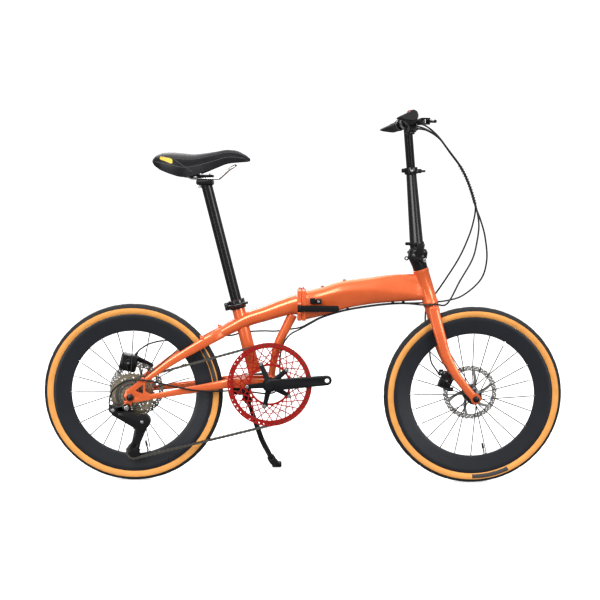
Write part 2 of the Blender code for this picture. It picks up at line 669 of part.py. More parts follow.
base = loft([steer_ring(HEAD_LEN + GAP, 0.0212), steer_ring(HEAD_LEN + 0.0140, 0.0214),
             fold_ring(-0.0130, 0.0270, 0.0240), fold_ring(-0.0002, 0.0270, 0.0240)])
eyelet = cut(cylinder(0.0062, (0.2935, -0.0040, 0.6600), (0.2935, 0.0040, 0.6600), 16),
             cylinder(0.0032, (0.2935, -0.0060, 0.6600), (0.2935, 0.0060, 0.6600), 12))
base = join(base, eyelet, fold_pin(0.0075, -0.0100, 0.0100, 14),
            fold_box((-0.0096, 0.0185, -0.0063), (0.0096, FOLD_Y - 0.0043, -0.0004)),
            fold_box((-0.0112, -0.0335, -0.0207), (-0.0071, -0.0183, -0.0061)),
            fold_box((0.0071, -0.0335, -0.0207), (0.0112, -0.0183, -0.0061)),
            fold_pin(0.0035, -0.0270, 0.0270, 14))
HAND_LATCH = fold(0, -0.0290, -0.0130)
finish(plain(base), "handlepost_base", BLACK, STEER)

foot = loft([fold_ring(0.0002, 0.0270, 0.0240), fold_ring(0.0100, 0.0265, 0.0238),
             fold_ring(0.0180, 0.0215, 0.0212, 2.2)])
tube = cylinder(0.0200, mast(0.6850), mast(0.9180), 24, 0.0143)
ring = cylinder(0.0222, mast(0.6990), mast(0.7070), 16)
nub = box((0.2890, -0.0050, 0.6975), (0.3060, 0.0050, 0.7065), 0.0015)
lower = join(foot, tube, ring, nub, fold_pin(0.0075, -0.0240, -0.0105, 14),
             fold_pin(0.0075, 0.0105, 0.0240, 14),
             fold_box((-0.0236, 0.0185, 0.0006), (-0.0109, FOLD_Y - 0.0044, 0.0064)),
             fold_box((0.0109, 0.0185, 0.0006), (0.0236, FOLD_Y - 0.0044, 0.0064)))
lower = cut(lower, fold_pin(0.0038, -0.03, 0.03, 14),
            cylinder(0.0131, mast(0.6930), mast(0.93), 16))
finish(plain(lower), "handlepost_lower", BLACK, fold(0, FOLD_Y, 0))

knob = cylinder(0.0048, HAND_LATCH - FOLD_DIR * 0.0066, HAND_LATCH + FOLD_DIR * 0.0066, 16)
tongue = fold_box((-0.0066, -0.0335, -0.0130), (0.0066, -0.0282, 0.0030))
paddle = fold_box((-0.0110, -0.0345, 0.0020), (0.0110, -0.0285, 0.0330))
finish(join(knob, tongue, paddle), "handlepost_latch_lever", BLACK, HAND_LATCH)

clamp = join(cylinder(0.0192, mast(0.9010), mast(0.9200), 16),
             box((0.2740, -0.0060, 0.9050), (0.2900, 0.0060, 0.9170), 0.0015),
             box((0.3120, -0.0120, 0.9040), (0.3300, -0.0055, 0.9160)),
             box((0.3120, 0.0055, 0.9040), (0.3300, 0.0120, 0.9160)),
             cylinder(0.0050, (0.3000, -0.0235, 0.9100), (0.3000, -0.0150, 0.9100), 16))
TELE = Vector((0.3250, 0, 0.9100))
clamp = cut(clamp, cylinder(0.0151, mast(0.89), mast(0.93), 16),
            cylinder(0.0038, TELE - AXIS_Y * 0.02, TELE + AXIS_Y * 0.02, 12))
finish(clamp, "telescope_clamp", BLACK)

tab = join(box((0.3238, -0.0052, 0.9068), (0.3420, 0.0052, 0.9132), 0.0010),
           cylinder(0.0034, TELE - AXIS_Y * 0.0115, TELE + AXIS_Y * 0.0115, 12))
tab = cut(tab, cylinder(0.0026, (0.3360, 0, 0.90), (0.3360, 0, 0.92), 12))
finish(tab, "telescope_lever", BLACK, TELE)

stem = join(cylinder(MAST_IN, mast(0.8000), mast(1.0400), 16),
            cylinder(0.0205, BAR - AXIS_Y * 0.0230, BAR + AXIS_Y * 0.0230, 16),
            box((0.3020, -0.0200, 1.0360), (0.3110, 0.0200, 1.0600), 0.0020))
stem = cut(stem, cylinder(0.0164, BAR - AXIS_Y * 0.04, BAR + AXIS_Y * 0.04, 16))
finish(plain(stem), "handlepost_upper", BLACK)


def bar_point(y):
    """The handlebar's centreline, which sweeps back a little."""
    return Vector((BAR.x - 0.068 * max(0.0, abs(y) - 0.03), y, BAR.z))


BAR_YS = [-BAR_HALF, -0.055, -0.031, 0.031, 0.055, BAR_HALF]
bar = wire([bar_point(y) for y in BAR_YS], BAR_R, 4,
           radii=[1.43 if abs(y) < 0.04 else 1.0 for y in BAR_YS])
finish(bar, "handlebar", BLACK)


def bar_bore(extra=GAP, y0=-0.30, y1=0.30):
    ys = [y for y in BAR_YS if y0 < y < y1]
    return wire([bar_point(y) for y in [y0, *ys, y1]], BAR_R + extra, 4)


GRIP = [(0.1420, 0.0170, 0.0), (0.1470, 0.0170, 0.0), (0.1500, 0.0158, 0.002),
        (0.1800, 0.0158, 0.010), (0.2150, 0.0156, 0.021), (0.2450, 0.0156, 0.027),
        (0.2600, 0.0152, 0.025), (0.2660, 0.0130, 0.020)]


def grip_ring(y, radius, wing, side):
    """A grip's section: round in front, drawn out behind into a palm rest."""
    centre = bar_point(side * y)
    ring = []
    for i in range(16):
        a = 2 * pi * i / 16
        u, v = cos(a), sin(a)
        back = max(0.0, -u)
        x = radius * u - wing * back ** 1.5
        z = radius * v * (1 - 0.45 * back * min(1.0, wing / 0.02)) - wing * 0.30 * back
        ring.append(centre + Vector((x, 0, z)))
    return ring


for name, side in (("grip_left", 1), ("grip_right", -1)):
    body = loft([grip_ring(y, r, wing, side) for y, r, wing in GRIP])
    ends = sorted((side * 0.12, side * (BAR_HALF + GAP)))
    finish(cut(body, bar_bore(0.0003, *ends)), name, RUBBER)


def clamp_ring(y0, y1, outer, side):
    ends = [bar_point(side * y0), bar_point(side * y1)]
    return cylinder(outer, *ends, 16)


LEVER_AT = {}
for name, side in (("left", 1), ("right", -1)):
    ring = clamp_ring(0.1060, 0.1200, 0.0165, side)
    x = bar_point(side * 0.113).x
    lie = BAR.z - 0.0060
    reservoir = wire([(x + 0.0240, side * 0.0700, lie), (x + 0.0270, side * 0.1000, lie),
                      (x + 0.0300, side * 0.1300, lie)], 0.0098, 3, radii=[0.75, 1, 1])
    neck = box((x + 0.0060, min(side * 0.107, side * 0.119), lie - 0.0060),
               (x + 0.0300, max(side * 0.107, side * 0.119), lie + 0.0060), 0.001)
    jaws = [box((x + 0.0280, min(side * 0.121, side * 0.139), lie + low),
                (x + 0.0520, max(side * 0.121, side * 0.139), lie + low + 0.0035), 0.0005)
            for low in (-0.0090, 0.0055)]
    port = cylinder(0.0036, (x + 0.0232, side * 0.0600, lie), (x + 0.0240, side * 0.0710, lie), 12)
    pivot = Vector((x + 0.0460, side * 0.1310, lie))
    pin = cylinder(0.0020, pivot - AXIS_Z * 0.0080, pivot + AXIS_Z * 0.0080, 10)
    body = join(ring, reservoir, neck, *jaws, port, pin)
    ends = sorted((side * 0.09, side * 0.14))
    finish(cut(body, bar_bore(0.0003, *ends)), "brake_body_" + name, BLACK)
    LEVER_AT[name] = pivot
    blade = wire([pivot + Vector((0.0, 0.0, 0.0)), pivot + Vector((0.0040, side * 0.018, -0.001)),
                  pivot + Vector((0.0070, side * 0.040, -0.003)),
                  pivot + Vector((0.0060, side * 0.068, -0.005)),
                  pivot + Vector((0.0080, side * 0.088, -0.006))], 0.0048, 2,
                 radii=[1, 0.95, 0.9, 0.85, 1.0])
    boss = cylinder(0.0058, pivot - AXIS_Z * 0.0052, pivot + AXIS_Z * 0.0052, 16)
    blade = cut(join(boss, blade), cylinder(0.0024, pivot - AXIS_Z * 0.02, pivot + AXIS_Z * 0.02, 12))
    finish(blade, "brake_lever_" + name, BLACK, pivot)

shift = join(clamp_ring(0.0850, 0.0960, 0.0162, -1),
             box((BAR.x - 0.0080, -0.1000, BAR.z - 0.0330), (BAR.x + 0.0140, -0.0780, BAR.z - 0.0100),
                 0.0040, 2),
             cylinder(0.0040, (BAR.x + 0.0100, -0.0800, BAR.z - 0.0220),
                      (BAR.x + 0.0180, -0.0700, BAR.z - 0.0220), 12))
shift = cut(shift, bar_bore(0.0003, -0.13, -0.07))
finish(shift, "shifter_body", BLACK)
THUMB = Vector((BAR.x + 0.0020, -0.0890, BAR.z - 0.0370))
thumb = join(cylinder(0.0085, THUMB - AXIS_Z * 0.0022, THUMB + AXIS_Z * 0.0035, 16),
             wire([THUMB, THUMB + Vector((-0.0120, -0.012, 0)),
                   THUMB + Vector((-0.0200, -0.028, -0.002)),
                   THUMB + Vector((-0.0210, -0.038, -0.003))], 0.0036, 2,
                  radii=[0.6, 0.6, 0.9, 1.0]))
finish(thumb, "shifter_lever", BLACK, THUMB)

bell = join(clamp_ring(0.0580, 0.0660, 0.0142, -1),
            cylinder(0.0030, (BAR.x, -0.062, BAR.z + 0.0125), (BAR.x, -0.062, BAR.z + 0.0180), 12),
            lathe([(0.0, 0.0120), (0.0060, 0.0112), (0.0105, 0.0075), (0.0130, 0.0010),
                   (0.0130, -0.0010), (0.0, -0.0010)],
                  (BAR.x, -0.062, BAR.z + 0.0180), 14, AXIS_Z),
            cylinder(0.0022, (BAR.x + 0.0120, -0.062, BAR.z + 0.0200),
                     (BAR.x + 0.0180, -0.062, BAR.z + 0.0200), 10))
finish(cut(bell, bar_bore(0.0003, -0.09, -0.045)), "bell", RED)

# ------------------------------------------------------------------- drivetrain
def capsule(start, end, r0, r1, count=7):
    """Outline of a bar with round ends between two (x, z) points."""
    start, end = Vector(start), Vector(end)
    lean = atan2(end.y - start.y, end.x - start.x)
    out = []
    for centre, radius, turn in ((end, r1, lean), (start, r0, lean + pi)):
        for i in range(count):
            a = turn - pi / 2 + pi * i / (count - 1)
            out.append((centre.x + radius * cos(a), centre.y + radius * sin(a)))
    return out


def flat(point):
    return Vector((point.x, point.z))


def toothed(centre, teeth, tip, root, y, half, bore, sides=36):
    """A sprocket: a toothed plate with a round hole."""
    outline = []
    for i in range(teeth):
        for shift, radius in ((0.0, root), (0.5, tip)):
            a = 2 * pi * (i + shift) / teeth
            outline.append((centre.x + radius * cos(a), centre.z + radius * sin(a)))
    disc = plate(outline, y - half, y + half)
    hole = cylinder(bore, (centre.x, y - 0.02, centre.z), (centre.x, y + 0.02, centre.z), sides)
    return cut(disc, hole)


SPIDER = [radians(41.5 + 72 * i) for i in range(5)]
ring = join(
    toothed(BB, RING_TEETH, RING_R + 0.0022, RING_R - 0.0040, CHAIN_Y, 0.0010, 0.1070, 24),
    lathe([(0.1110, 0.0014), (0.1110, -0.0014), (0.1040, -0.0014), (0.1040, 0.0014)],
          (BB.x, CHAIN_Y, BB.z), 24),
)
struts = [lathe([(0.0575, 0.0012), (0.0575, -0.0012), (0.0520, -0.0012), (0.0520, 0.0012)],
                (BB.x, CHAIN_Y, BB.z), 16)]
for a in SPIDER:
    hub_point = flat(on_circle(BB, 0.0650, a, 0))
    centre = on_circle(BB, 0.0650, a, CHAIN_Y)
    struts.append(cylinder(0.0085, centre - AXIS_Y * 0.0013, centre + AXIS_Y * 0.0013, 10))
    struts.append(plate(capsule(flat(on_circle(BB, 0.0555, a, 0)), hub_point, 0.005, 0.006, 2),
                        CHAIN_Y - 0.0010, CHAIN_Y + 0.0010))
    for shift, half in ((-42, 0.0009), (-15, 0.0010), (15, 0.0011), (42, 0.0012)):
        rim_point = flat(on_circle(BB, 0.1060, a + radians(shift), 0))
        struts.append(plate(capsule(hub_point, rim_point, 0.0021, 0.0021, 2),
                            CHAIN_Y - half, CHAIN_Y + half))
finish(plain(join(ring, *struts)), "chainring", RED, BB)


def crank_arm(angle, inner, outer):
    end = flat(on_circle(BB, CRANK_LEN, angle, 0))
    arm = plate(capsule(flat(BB), end, 0.0165, 0.0140), min(inner, outer), max(inner, outer),
                0.0020)
    low, high = on_circle(BB, CRANK_LEN, angle, -0.09), on_circle(BB, CRANK_LEN, angle, 0.09)
    return cut(arm, cylinder(0.0072, low, high, 16))


def bb_disc(radius, y0, y1, sides=32):
    return cylinder(radius, (BB.x, y0, BB.z), (BB.x, y1, BB.z), sides)


arms = [plate(capsule(flat(on_circle(BB, 0.0120, a, 0)), flat(on_circle(BB, 0.0650, a, 0)),
                      0.0085, 0.0062, 5), -0.0535, -0.0467) for a in SPIDER]
right = join(crank_arm(CRANK_TILT, -0.0535, -0.0665), bb_disc(0.0215, -0.0545, -0.0463),
             bb_disc(0.0130, -0.0700, -0.0600, 16), *arms)
finish(plain(cut(right, bb_disc(0.0123, -0.0560, -0.0400))), "crank_right", BLACK, BB)
left = join(crank_arm(CRANK_TILT + pi, 0.0565, 0.0685), bb_disc(0.0120, -0.0550, 0.0600),
            bb_disc(0.0170, 0.0345, 0.0600), bb_disc(0.0130, 0.0600, 0.0710, 16))
finish(plain(left), "crank_left", BLACK, BB)

COGS = [(32, -0.0350), (26, -0.0400), (21, -0.0450), (17, -0.0500), (14, -0.0550), (11, -0.0600)]
profile = []
for teeth, y in reversed(COGS):
    tip = PITCH * teeth / (2 * pi) + 0.0012
    profile += [(0.0195, y - 0.0010), (tip, y), (0.0195, y + 0.0010)]
profile = [(0.0165, -0.0615), (0.0195, -0.0615), *profile, (0.0195, -0.0332), (0.0165, -0.0332)]
finish(lathe(list(reversed(profile)), REAR, 14), "cassette", STEEL, REAR)

for name, centre in (("guide_pulley", GUIDE), ("tension_pulley", TENSION)):
    wheel = toothed(centre, 11, PULLEY_R + 0.0012, PULLEY_R - 0.0030, CHAIN_Y, 0.0010, 0.0031, 12)
    finish(wheel, name, BLACK, centre)

KNEE = Vector((-0.4600, 0, 0.1910))
outer = plate(capsule(flat(GUIDE), flat(TENSION), 0.0105, 0.0105, 7), -0.0517, -0.0500)
inner = plate(capsule(flat(GUIDE), flat(TENSION), 0.0105, 0.0105, 7), -0.0400, -0.0384)
pins = [cylinder(0.0028, (c.x, -0.0510, c.z), (c.x, -0.0390, c.z), 12) for c in (GUIDE, TENSION)]
web = plate(capsule(flat(KNEE), flat(GUIDE), 0.0130, 0.0100, 7), -0.0521, -0.0503)
boss = cylinder(0.0120, (KNEE.x, -0.0562, KNEE.z), (KNEE.x, -0.0505, KNEE.z), 16)
finish(join(outer, inner, *pins, web, boss), "derailleur_cage", BLACK)

HANGER = Vector((-0.5035, 0, 0.2320))
mech = join(
    cylinder(0.0225, (KNEE.x, -0.0780, KNEE.z), (KNEE.x, -0.0565, KNEE.z), 24),
    cylinder(0.0110, (HANGER.x, -0.0860, HANGER.z), (HANGER.x, -0.0718, HANGER.z), 16),
    cylinder(0.0031, (HANGER.x, -0.0730, HANGER.z), (HANGER.x, -0.0640, HANGER.z), 12),
    plate(capsule((HANGER.x, HANGER.z), (-0.5400, 0.2240), 0.0085, 0.0105, 5), -0.0850, -0.0745),
    plate(capsule((-0.5450, 0.2260), (-0.4680, 0.1860), 0.0125, 0.0150, 7), -0.0745, -0.0600),
    cylinder(0.0090, (-0.5420, -0.0850, 0.2250), (-0.5420, -0.0600, 0.2250), 16),
    cylinder(0.0034, (-0.5500, -0.0740, 0.2300), (-0.5540, -0.0750, 0.2400), 12),
)
finish(plain(mech), "rear_derailleur", BLACK)


def chain_path():
    """The chain's closed centreline as (x, z), and its straight runs."""
    wheels = [(flat(BB), RING_R, 1), (flat(REAR), COG_R, 1), (flat(GUIDE), PULLEY_R, -1),
              (flat(TENSION), PULLEY_R, 1)]
    touch = []
    for one, two in zip(wheels, wheels[1:] + wheels[:1]):
        span = two[0] - one[0]
        lean = atan2(span.y, span.x) - asin((two[1] * two[2] - one[1] * one[2]) / span.length)
        left = Vector((-sin(lean), cos(lean)))
        touch.append((one[0] - left * (one[1] * one[2]), two[0] - left * (two[1] * two[2])))
    points = []
    for i, (centre, radius, way) in enumerate(wheels):
        enter, leave = touch[i - 1][1] - centre, touch[i][0] - centre
        a, b = atan2(enter.y, enter.x), atan2(leave.y, leave.x)
        sweep_by = (b - a) * way % (2 * pi) * way
        count = max(3, ceil(abs(sweep_by) * radius / 0.0300), ceil(abs(sweep_by) / 0.50))
        for k in range(count + 1):
            c = a + sweep_by * k / count
            points.append(centre + Vector((cos(c), sin(c))) * radius)
    return points, touch


def belt(path, y0, y1, half):
    """A closed band that follows the chain's path."""
    bm = bmesh.new()
    loops = []
    count = len(path)
    for i, p in enumerate(path):
        ahead = (path[(i + 1) % count] - path[i - 1]).normalized()
        across = Vector((-ahead.y, ahead.x)) * half
        loops.append([bm.verts.new((q.x, y, q.y)) for q, y in (
            (p + across, y0), (p + across, y1), (p - across, y1), (p - across, y0))])
    for i in range(count):
        one, two = loops[i], loops[(i + 1) % count]
        for k in range(4):
            j = (k + 1) % 4
            bm.faces.new((one[k], one[j], two[j], two[k]))
    bmesh.ops.recalc_face_normals(bm, faces=bm.faces)
    mesh = bpy.data.meshes.new("belt")
    bm.to_mesh(mesh)
    bm.free()
    return link("belt", mesh)


path, runs = chain_path()
rollers = []
for start, end in (runs[0], runs[3]):
    count = int((end - start).length / (PITCH * 5))
    for i in range(1, count):
        p = start.lerp(end, i / count)
        rollers.append(cylinder(0.0026, (p.x, CHAIN_Y - 0.0028, p.y), (p.x, CHAIN_Y + 0.0028, p.y), 5))
chain = join(belt(path, CHAIN_Y - 0.0032, CHAIN_Y - 0.0015, 0.0039),
             belt(path, CHAIN_Y + 0.0015, CHAIN_Y + 0.0032, 0.0039), *rollers)
finish(chain, "chain", STEEL)

# ----------------------------------------------------------------------- brakes
def disc(centre, y0, y1, radius):
    return cylinder(radius, (centre.x, y0, centre.z), (centre.x, y1, centre.z), 40)


body = turned(box((-0.5430, 0.0400, 0.3140), (-0.4930, 0.0655, 0.3660), 0.0050, 2),
              "Y", radians(14), (-0.518, 0, 0.340))
arm = plate(capsule((-0.5050, 0.3560), (-0.4520, 0.3300), 0.0075, 0.0065, 5), 0.0555, 0.0640)
rear_brake = join(body, arm, cylinder(0.0040, (-0.4990, 0.0550, 0.3600), (-0.4930, 0.0545, 0.3690), 12),
                  cylinder(0.0060, (-0.5180, 0.0640, 0.3400), (-0.5180, 0.0680, 0.3400), 16))
rear_brake = cut(rear_brake, disc(REAR, 0.0503, 0.0537, ROTOR_R + 0.0015),
                 sweep(STAY, 2.6, 12, GAP), disc(REAR, 0.0300, 0.0700, 0.0520))
finish(rear_brake, "rear_brake_caliper", BLACK)

body = turned(box((0.4050, 0.0290, 0.2700), (0.4420, 0.0490, 0.3220), 0.0050, 2),
              "Y", radians(24), (0.4235, 0, 0.2960))
tabs = [box((0.4020, 0.0400, 0.3100), (0.4150, 0.0480, 0.3280), 0.0010),
        box((0.4300, 0.0420, 0.2620), (0.4480, 0.0485, 0.2740), 0.0010)]
front_brake = join(body, *tabs, cylinder(0.0040, (0.4060, 0.0390, 0.3120), (0.3990, 0.0395, 0.3190), 12))
front_brake = cut(front_brake, disc(FRONT, 0.0383, 0.0417, ROTOR_R + 0.0015),
                  sweep(LEG, 2.4, 10, GAP), disc(FRONT, 0.0200, 0.0600, 0.0500))
finish(front_brake, "front_brake_caliper", BLACK)

# -------------------------------------------------------------------- kickstand
STAND = Vector((-0.1660, 0.0455, 0.2350))
STAND_AXIS = Vector((-0.1410, 0.9900, 0)).normalized()
mount = join(box((-0.2080, -0.0240, 0.2600), (-0.1560, 0.0300, 0.2811), 0.0020),
             box((-0.1790, 0.0060, 0.2350), (-0.1560, 0.0340, 0.2650), 0.0020),
             cylinder(0.0125, STAND - STAND_AXIS * 0.0250, STAND - STAND_AXIS * 0.0080, 16),
             cylinder(0.0045, (-0.1850, 0, 0.2550), (-0.1850, 0, 0.2650), 6))
finish(mount, "kickstand_mount", BLACK)
leg = [STAND, (-0.1360, 0.0455, 0.1500), (-0.1240, 0.0490, 0.1140), (-0.1150, 0.0640, 0.0900),
       (-0.0870, 0.1370, 0.0160), (-0.0800, 0.1500, 0.0080)]
stand = join(cylinder(0.0125, STAND - STAND_AXIS * 0.0077, STAND + STAND_AXIS * 0.0078, 16),
             wire(leg, 0.0082, 3, radii=[0.7, 1.0, 1.0, 1.0, 0.95, 0.9]),
             box((-0.0930, 0.1380, 0), (-0.0630, 0.1640, 0.0150), 0.0030))
finish(stand, "kickstand", BLACK, STAND)

# ---------------------------------------------------------------- hoses, cable
def bundle(y):
    return [(0.4130, y, 0.9620), (0.4450, y, 0.9200), (0.4680, y, 0.8740),
            (0.4880, y, 0.8150)]


def under_tube(side):
    y = side * 0.0060
    return [(0.4090, side * 0.0340, 0.5330), (0.3750, side * 0.0350, 0.5310),
            (0.3400, side * 0.0270, 0.5280), (0.3000, y, 0.5290), (0.2560, y, 0.5280),
            (0.1900, y, 0.5205), (0.1160, y, 0.5070), (0.0520, y, 0.4870),
            (0.0180, side * 0.0100, 0.4690), (-0.0100, side * 0.0170, 0.4540)]


ROUTES = {
    "rear_brake_hose": [
        (0.3054, 0.0565, 1.0420), (0.3400, 0.0320, 1.0330), (0.3780, 0.0120, 1.0070),
        *bundle(0.0060),
        (0.5060, 0.0080, 0.7720), (0.5210, 0.0100, 0.7220), (0.5280, 0.0120, 0.6570),
        (0.5130, 0.0170, 0.5990), (0.4620, 0.0270, 0.5500), *under_tube(1),
        (-0.0390, 0.0200, 0.4480), (-0.0820, 0.0195, 0.4420), (-0.1200, 0.0200, 0.4420),
        (-0.1730, 0.0245, 0.4380), (-0.2100, 0.0310, 0.4270), (-0.2400, 0.0400, 0.4230),
        (-0.2950, 0.0480, 0.4060), (-0.3450, 0.0560, 0.3960), (-0.4050, 0.0620, 0.4050),
        (-0.4550, 0.0590, 0.3960), (-0.4840, 0.0550, 0.3790), (-0.4924, 0.0545, 0.3699)],
    "front_brake_hose": [
        (0.3054, -0.0565, 1.0420), (0.3400, -0.0220, 1.0350), (0.3780, -0.0020, 1.0070),
        *bundle(0.0),
        (0.4820, 0.0000, 0.7590), (0.4640, 0.0020, 0.7030), (0.4430, 0.0060, 0.6560),
        (0.4130, 0.0170, 0.6030), (0.3880, 0.0330, 0.5600), (0.3640, 0.0430, 0.5260),
        (0.3580, 0.0460, 0.4800), (0.3640, 0.0450, 0.4300), (0.3720, 0.0440, 0.3910),
        (0.3780, 0.0420, 0.3510), (0.3984, 0.0396, 0.3197)],
    "shift_cable": [
        (0.3068, -0.0690, 1.0260), (0.3400, -0.0400, 1.0220), (0.3780, -0.0120, 1.0020),
        *bundle(-0.0060),
        (0.4980, -0.0100, 0.7590), (0.4920, -0.0150, 0.7030), (0.4790, -0.0200, 0.6570),
        (0.4450, -0.0280, 0.5980), *under_tube(-1),
        (-0.0400, -0.0200, 0.4380), (-0.0600, -0.0195, 0.4100), (-0.0690, -0.0195, 0.3700),
        (-0.0690, -0.0195, 0.3200), (-0.0710, -0.0195, 0.2900), (-0.0840, -0.0220, 0.2690),
        (-0.1100, -0.0260, 0.2650), (-0.1500, -0.0300, 0.2700), (-0.2000, -0.0340, 0.2740),
        (-0.2400, -0.0405, 0.2740), (-0.2800, -0.0490, 0.2750), (-0.3200, -0.0570, 0.2800),
        (-0.3750, -0.0690, 0.2930), (-0.4350, -0.0760, 0.3080), (-0.4870, -0.0800, 0.3130),
        (-0.5230, -0.0800, 0.2990), (-0.5470, -0.0780, 0.2740), (-0.5548, -0.0753, 0.2424)],
}
for name, route in ROUTES.items():
    finish(wire(smooth(route, 0.0700), 0.0026, 0), name, BLACK)
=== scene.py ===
"""The folding bicycle's looks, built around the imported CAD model. Lengths are in metres, save in
the texts that table() reads, which are in millimetres."""
import json
from math import asin, atan2, ceil, copysign, cos, pi, radians, sin

import bmesh
import bpy
from mathutils import Matrix, Vector
from mathutils.bvhtree import BVHTree


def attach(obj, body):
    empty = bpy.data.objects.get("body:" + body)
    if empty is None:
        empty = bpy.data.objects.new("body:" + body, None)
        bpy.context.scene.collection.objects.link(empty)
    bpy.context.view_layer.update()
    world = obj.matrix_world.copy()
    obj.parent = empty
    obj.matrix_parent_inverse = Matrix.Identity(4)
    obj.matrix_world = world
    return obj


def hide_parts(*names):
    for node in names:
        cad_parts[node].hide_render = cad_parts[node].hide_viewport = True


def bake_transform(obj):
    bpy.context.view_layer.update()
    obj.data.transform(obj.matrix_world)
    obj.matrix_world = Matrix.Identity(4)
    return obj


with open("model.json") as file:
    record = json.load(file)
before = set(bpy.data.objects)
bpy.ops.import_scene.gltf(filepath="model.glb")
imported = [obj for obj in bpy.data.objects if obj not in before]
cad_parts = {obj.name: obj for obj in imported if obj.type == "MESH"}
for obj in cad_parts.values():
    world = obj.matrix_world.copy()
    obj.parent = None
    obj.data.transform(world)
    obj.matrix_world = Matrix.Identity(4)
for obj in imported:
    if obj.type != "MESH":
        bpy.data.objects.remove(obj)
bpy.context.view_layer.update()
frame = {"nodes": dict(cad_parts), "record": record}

NODES = frame["nodes"]
BODY = {n: b for b, ns in frame["record"]["behaviour"]["bodies"].items() for n in ns}


def table(text):
    """Rows of numbers in metres, from text in millimetres with a comma between the rows."""
    return [tuple(float(word) / 1000 for word in row.split()) for row in text.split(",")]


# ---- dimensions
TURN = 2 * pi
AXIS_Y, AXIS_Z = Vector((0, 1, 0)), Vector((0, 0, 1))
TYRE_R, TYRE_HALF = 0.2605, 0.0172
RIM_R, RIM_IN, TAN_R = 0.2315, 0.181, 0.2478
REAR, FRONT = Vector((-0.495, 0, TYRE_R)), Vector((0.495, 0, TYRE_R))
BB = Vector((-0.098, 0, 0.296))
CRANK_LENGTH, CRANK_TILT = 0.165, radians(5.5)
CHAIN_Y, PITCH = -0.045, 0.0127
RING_TEETH, COG_TEETH = 58, 21
RING_R, COG_R, PULLEY_R = PITCH * RING_TEETH / TURN, PITCH * COG_TEETH / TURN, 0.0202
GUIDE, TENSION = Vector((-0.474, CHAIN_Y, 0.174)), Vector((-0.49, CHAIN_Y, 0.0955))
STEER, STEER_DIR = Vector((0.3665, 0, 0.529)), Vector((-0.3007, 0, 0.9537))
HEAD_R, HEAD_LEN = 0.0215, 0.1049
POST_R, POST_BORE = 0.0159, 0.0187
POST_TOP, POST_DIR = Vector((-0.286, 0, 0.876)), Vector((0.2504, 0, -0.9681))
BAR = Vector((0.2879, 0, 1.048))
HINGE_X, HINGE_Y = -0.008, 0.0405
HOSE_R = 0.0025


# ---- materials
def feed(node, **inputs):
    """A shader node, with inputs set by name."""
    for key, value in inputs.items():
        node.inputs[key.replace("_", " ")].default_value = value
    return node


def add(tree, kind, **inputs):
    return feed(tree.nodes.new("ShaderNode" + kind), **inputs)


def material(name, colour, metallic, rough, spread, grain, bump, coat=0.0, kind="noise",
             stretch=(1, 1, 1), sheen=0.0, second=None, gloss=0.5):
    """A procedural finish: mottled colour and roughness, and a fine relief of one kind."""
    mat = bpy.data.materials.new(name)
    mat.use_nodes = True
    tree = mat.node_tree
    link = tree.links.new
    shader = feed(tree.nodes["Principled BSDF"], Metallic=metallic, Specular_IOR_Level=gloss,
                  Sheen_Weight=sheen)
    if coat:
        feed(shader, Coat_Weight=coat, Coat_Roughness=0.18)
    mapping = add(tree, "Mapping", Scale=stretch)
    link(add(tree, "TexCoord").outputs["Object"], mapping.inputs["Vector"])

    def texture(kind_name, scale, **inputs):
        made = add(tree, kind_name, Scale=scale, **inputs)
        link(mapping.outputs["Vector"], made.inputs["Vector"])
        return made

    # colour
    ramp = add(tree, "ValToRGB")
    shades = ([c * (1 - spread) for c in colour],
              [min(1.0, c * (1 + spread)) for c in second or colour])
    for stop, position, shade in zip(ramp.color_ramp.elements, (0.3, 0.7), shades):
        stop.position, stop.color = position, (*shade, 1)
    mottle = texture("TexNoise", 26.0, Detail=5.0, Roughness=0.6)
    link(mottle.outputs["Fac"], ramp.inputs["Fac"])
    link(ramp.outputs["Color"], shader.inputs["Base Color"])
    # roughness
    smudge = texture("TexNoise", 34.0, Detail=6.0, Roughness=0.65)
    worn = add(tree, "MapRange", To_Min=max(0.04, rough - 0.03), To_Max=min(1.0, rough + 0.04))
    link(smudge.outputs["Fac"], worn.inputs["Value"])
    link(worn.outputs["Result"], shader.inputs["Roughness"])
    # relief
    if kind == "leather":
        cells = texture("TexVoronoi", grain)
        cells.feature = "DISTANCE_TO_EDGE"
        height = cells.outputs["Distance"]
    elif kind == "weave":
        both = add(tree, "Math")
        both.operation = "MAXIMUM"
        for k, direction in enumerate("XZ"):
            wave = texture("TexWave", grain, Distortion=0.6)
            wave.bands_direction = direction
            link(wave.outputs["Fac"], both.inputs[k])
        height = both.outputs["Value"]
    else:
        height = texture("TexNoise", grain, Detail=3.0).outputs["Fac"]
    raised = add(tree, "Bump", Strength=bump, Distance=0.0004)
    link(height, raised.inputs["Height"])
    link(raised.outputs["Normal"], shader.inputs["Normal"])
    return mat


# name, colour, metallic, roughness, colour spread, relief scale, relief strength, coat
COPPER = material("copper_paint", (0.74, 0.125, 0.03), 0.35, 0.2, 0.03, 900, 0.02, 0.3,
                  second=(0.78, 0.14, 0.038))
BLACK = material("black_anodised", (0.006, 0.006, 0.007), 0.1, 0.22, 0.12, 700, 0.02, gloss=0.3)
GLOSS = material("black_gloss", (0.004, 0.004, 0.005), 0.0, 0.17, 0.1, 500, 0.006, 0.1, gloss=0.4)
SATIN = material("rim_satin", (0.014, 0.016, 0.02), 0.1, 0.28, 0.07, 420, 0.03, gloss=0.35)
STEEL = material("bright_steel", (0.6, 0.6, 0.59), 1.0, 0.24, 0.06, 600, 0.08)
BRUSHED = material("brushed_steel", (0.5, 0.49, 0.47), 1.0, 0.32, 0.08, 500, 0.2,
                   stretch=(1, 9, 1))
CHAIN = material("chain_steel", (0.17, 0.16, 0.14), 1.0, 0.36, 0.15, 500, 0.12)
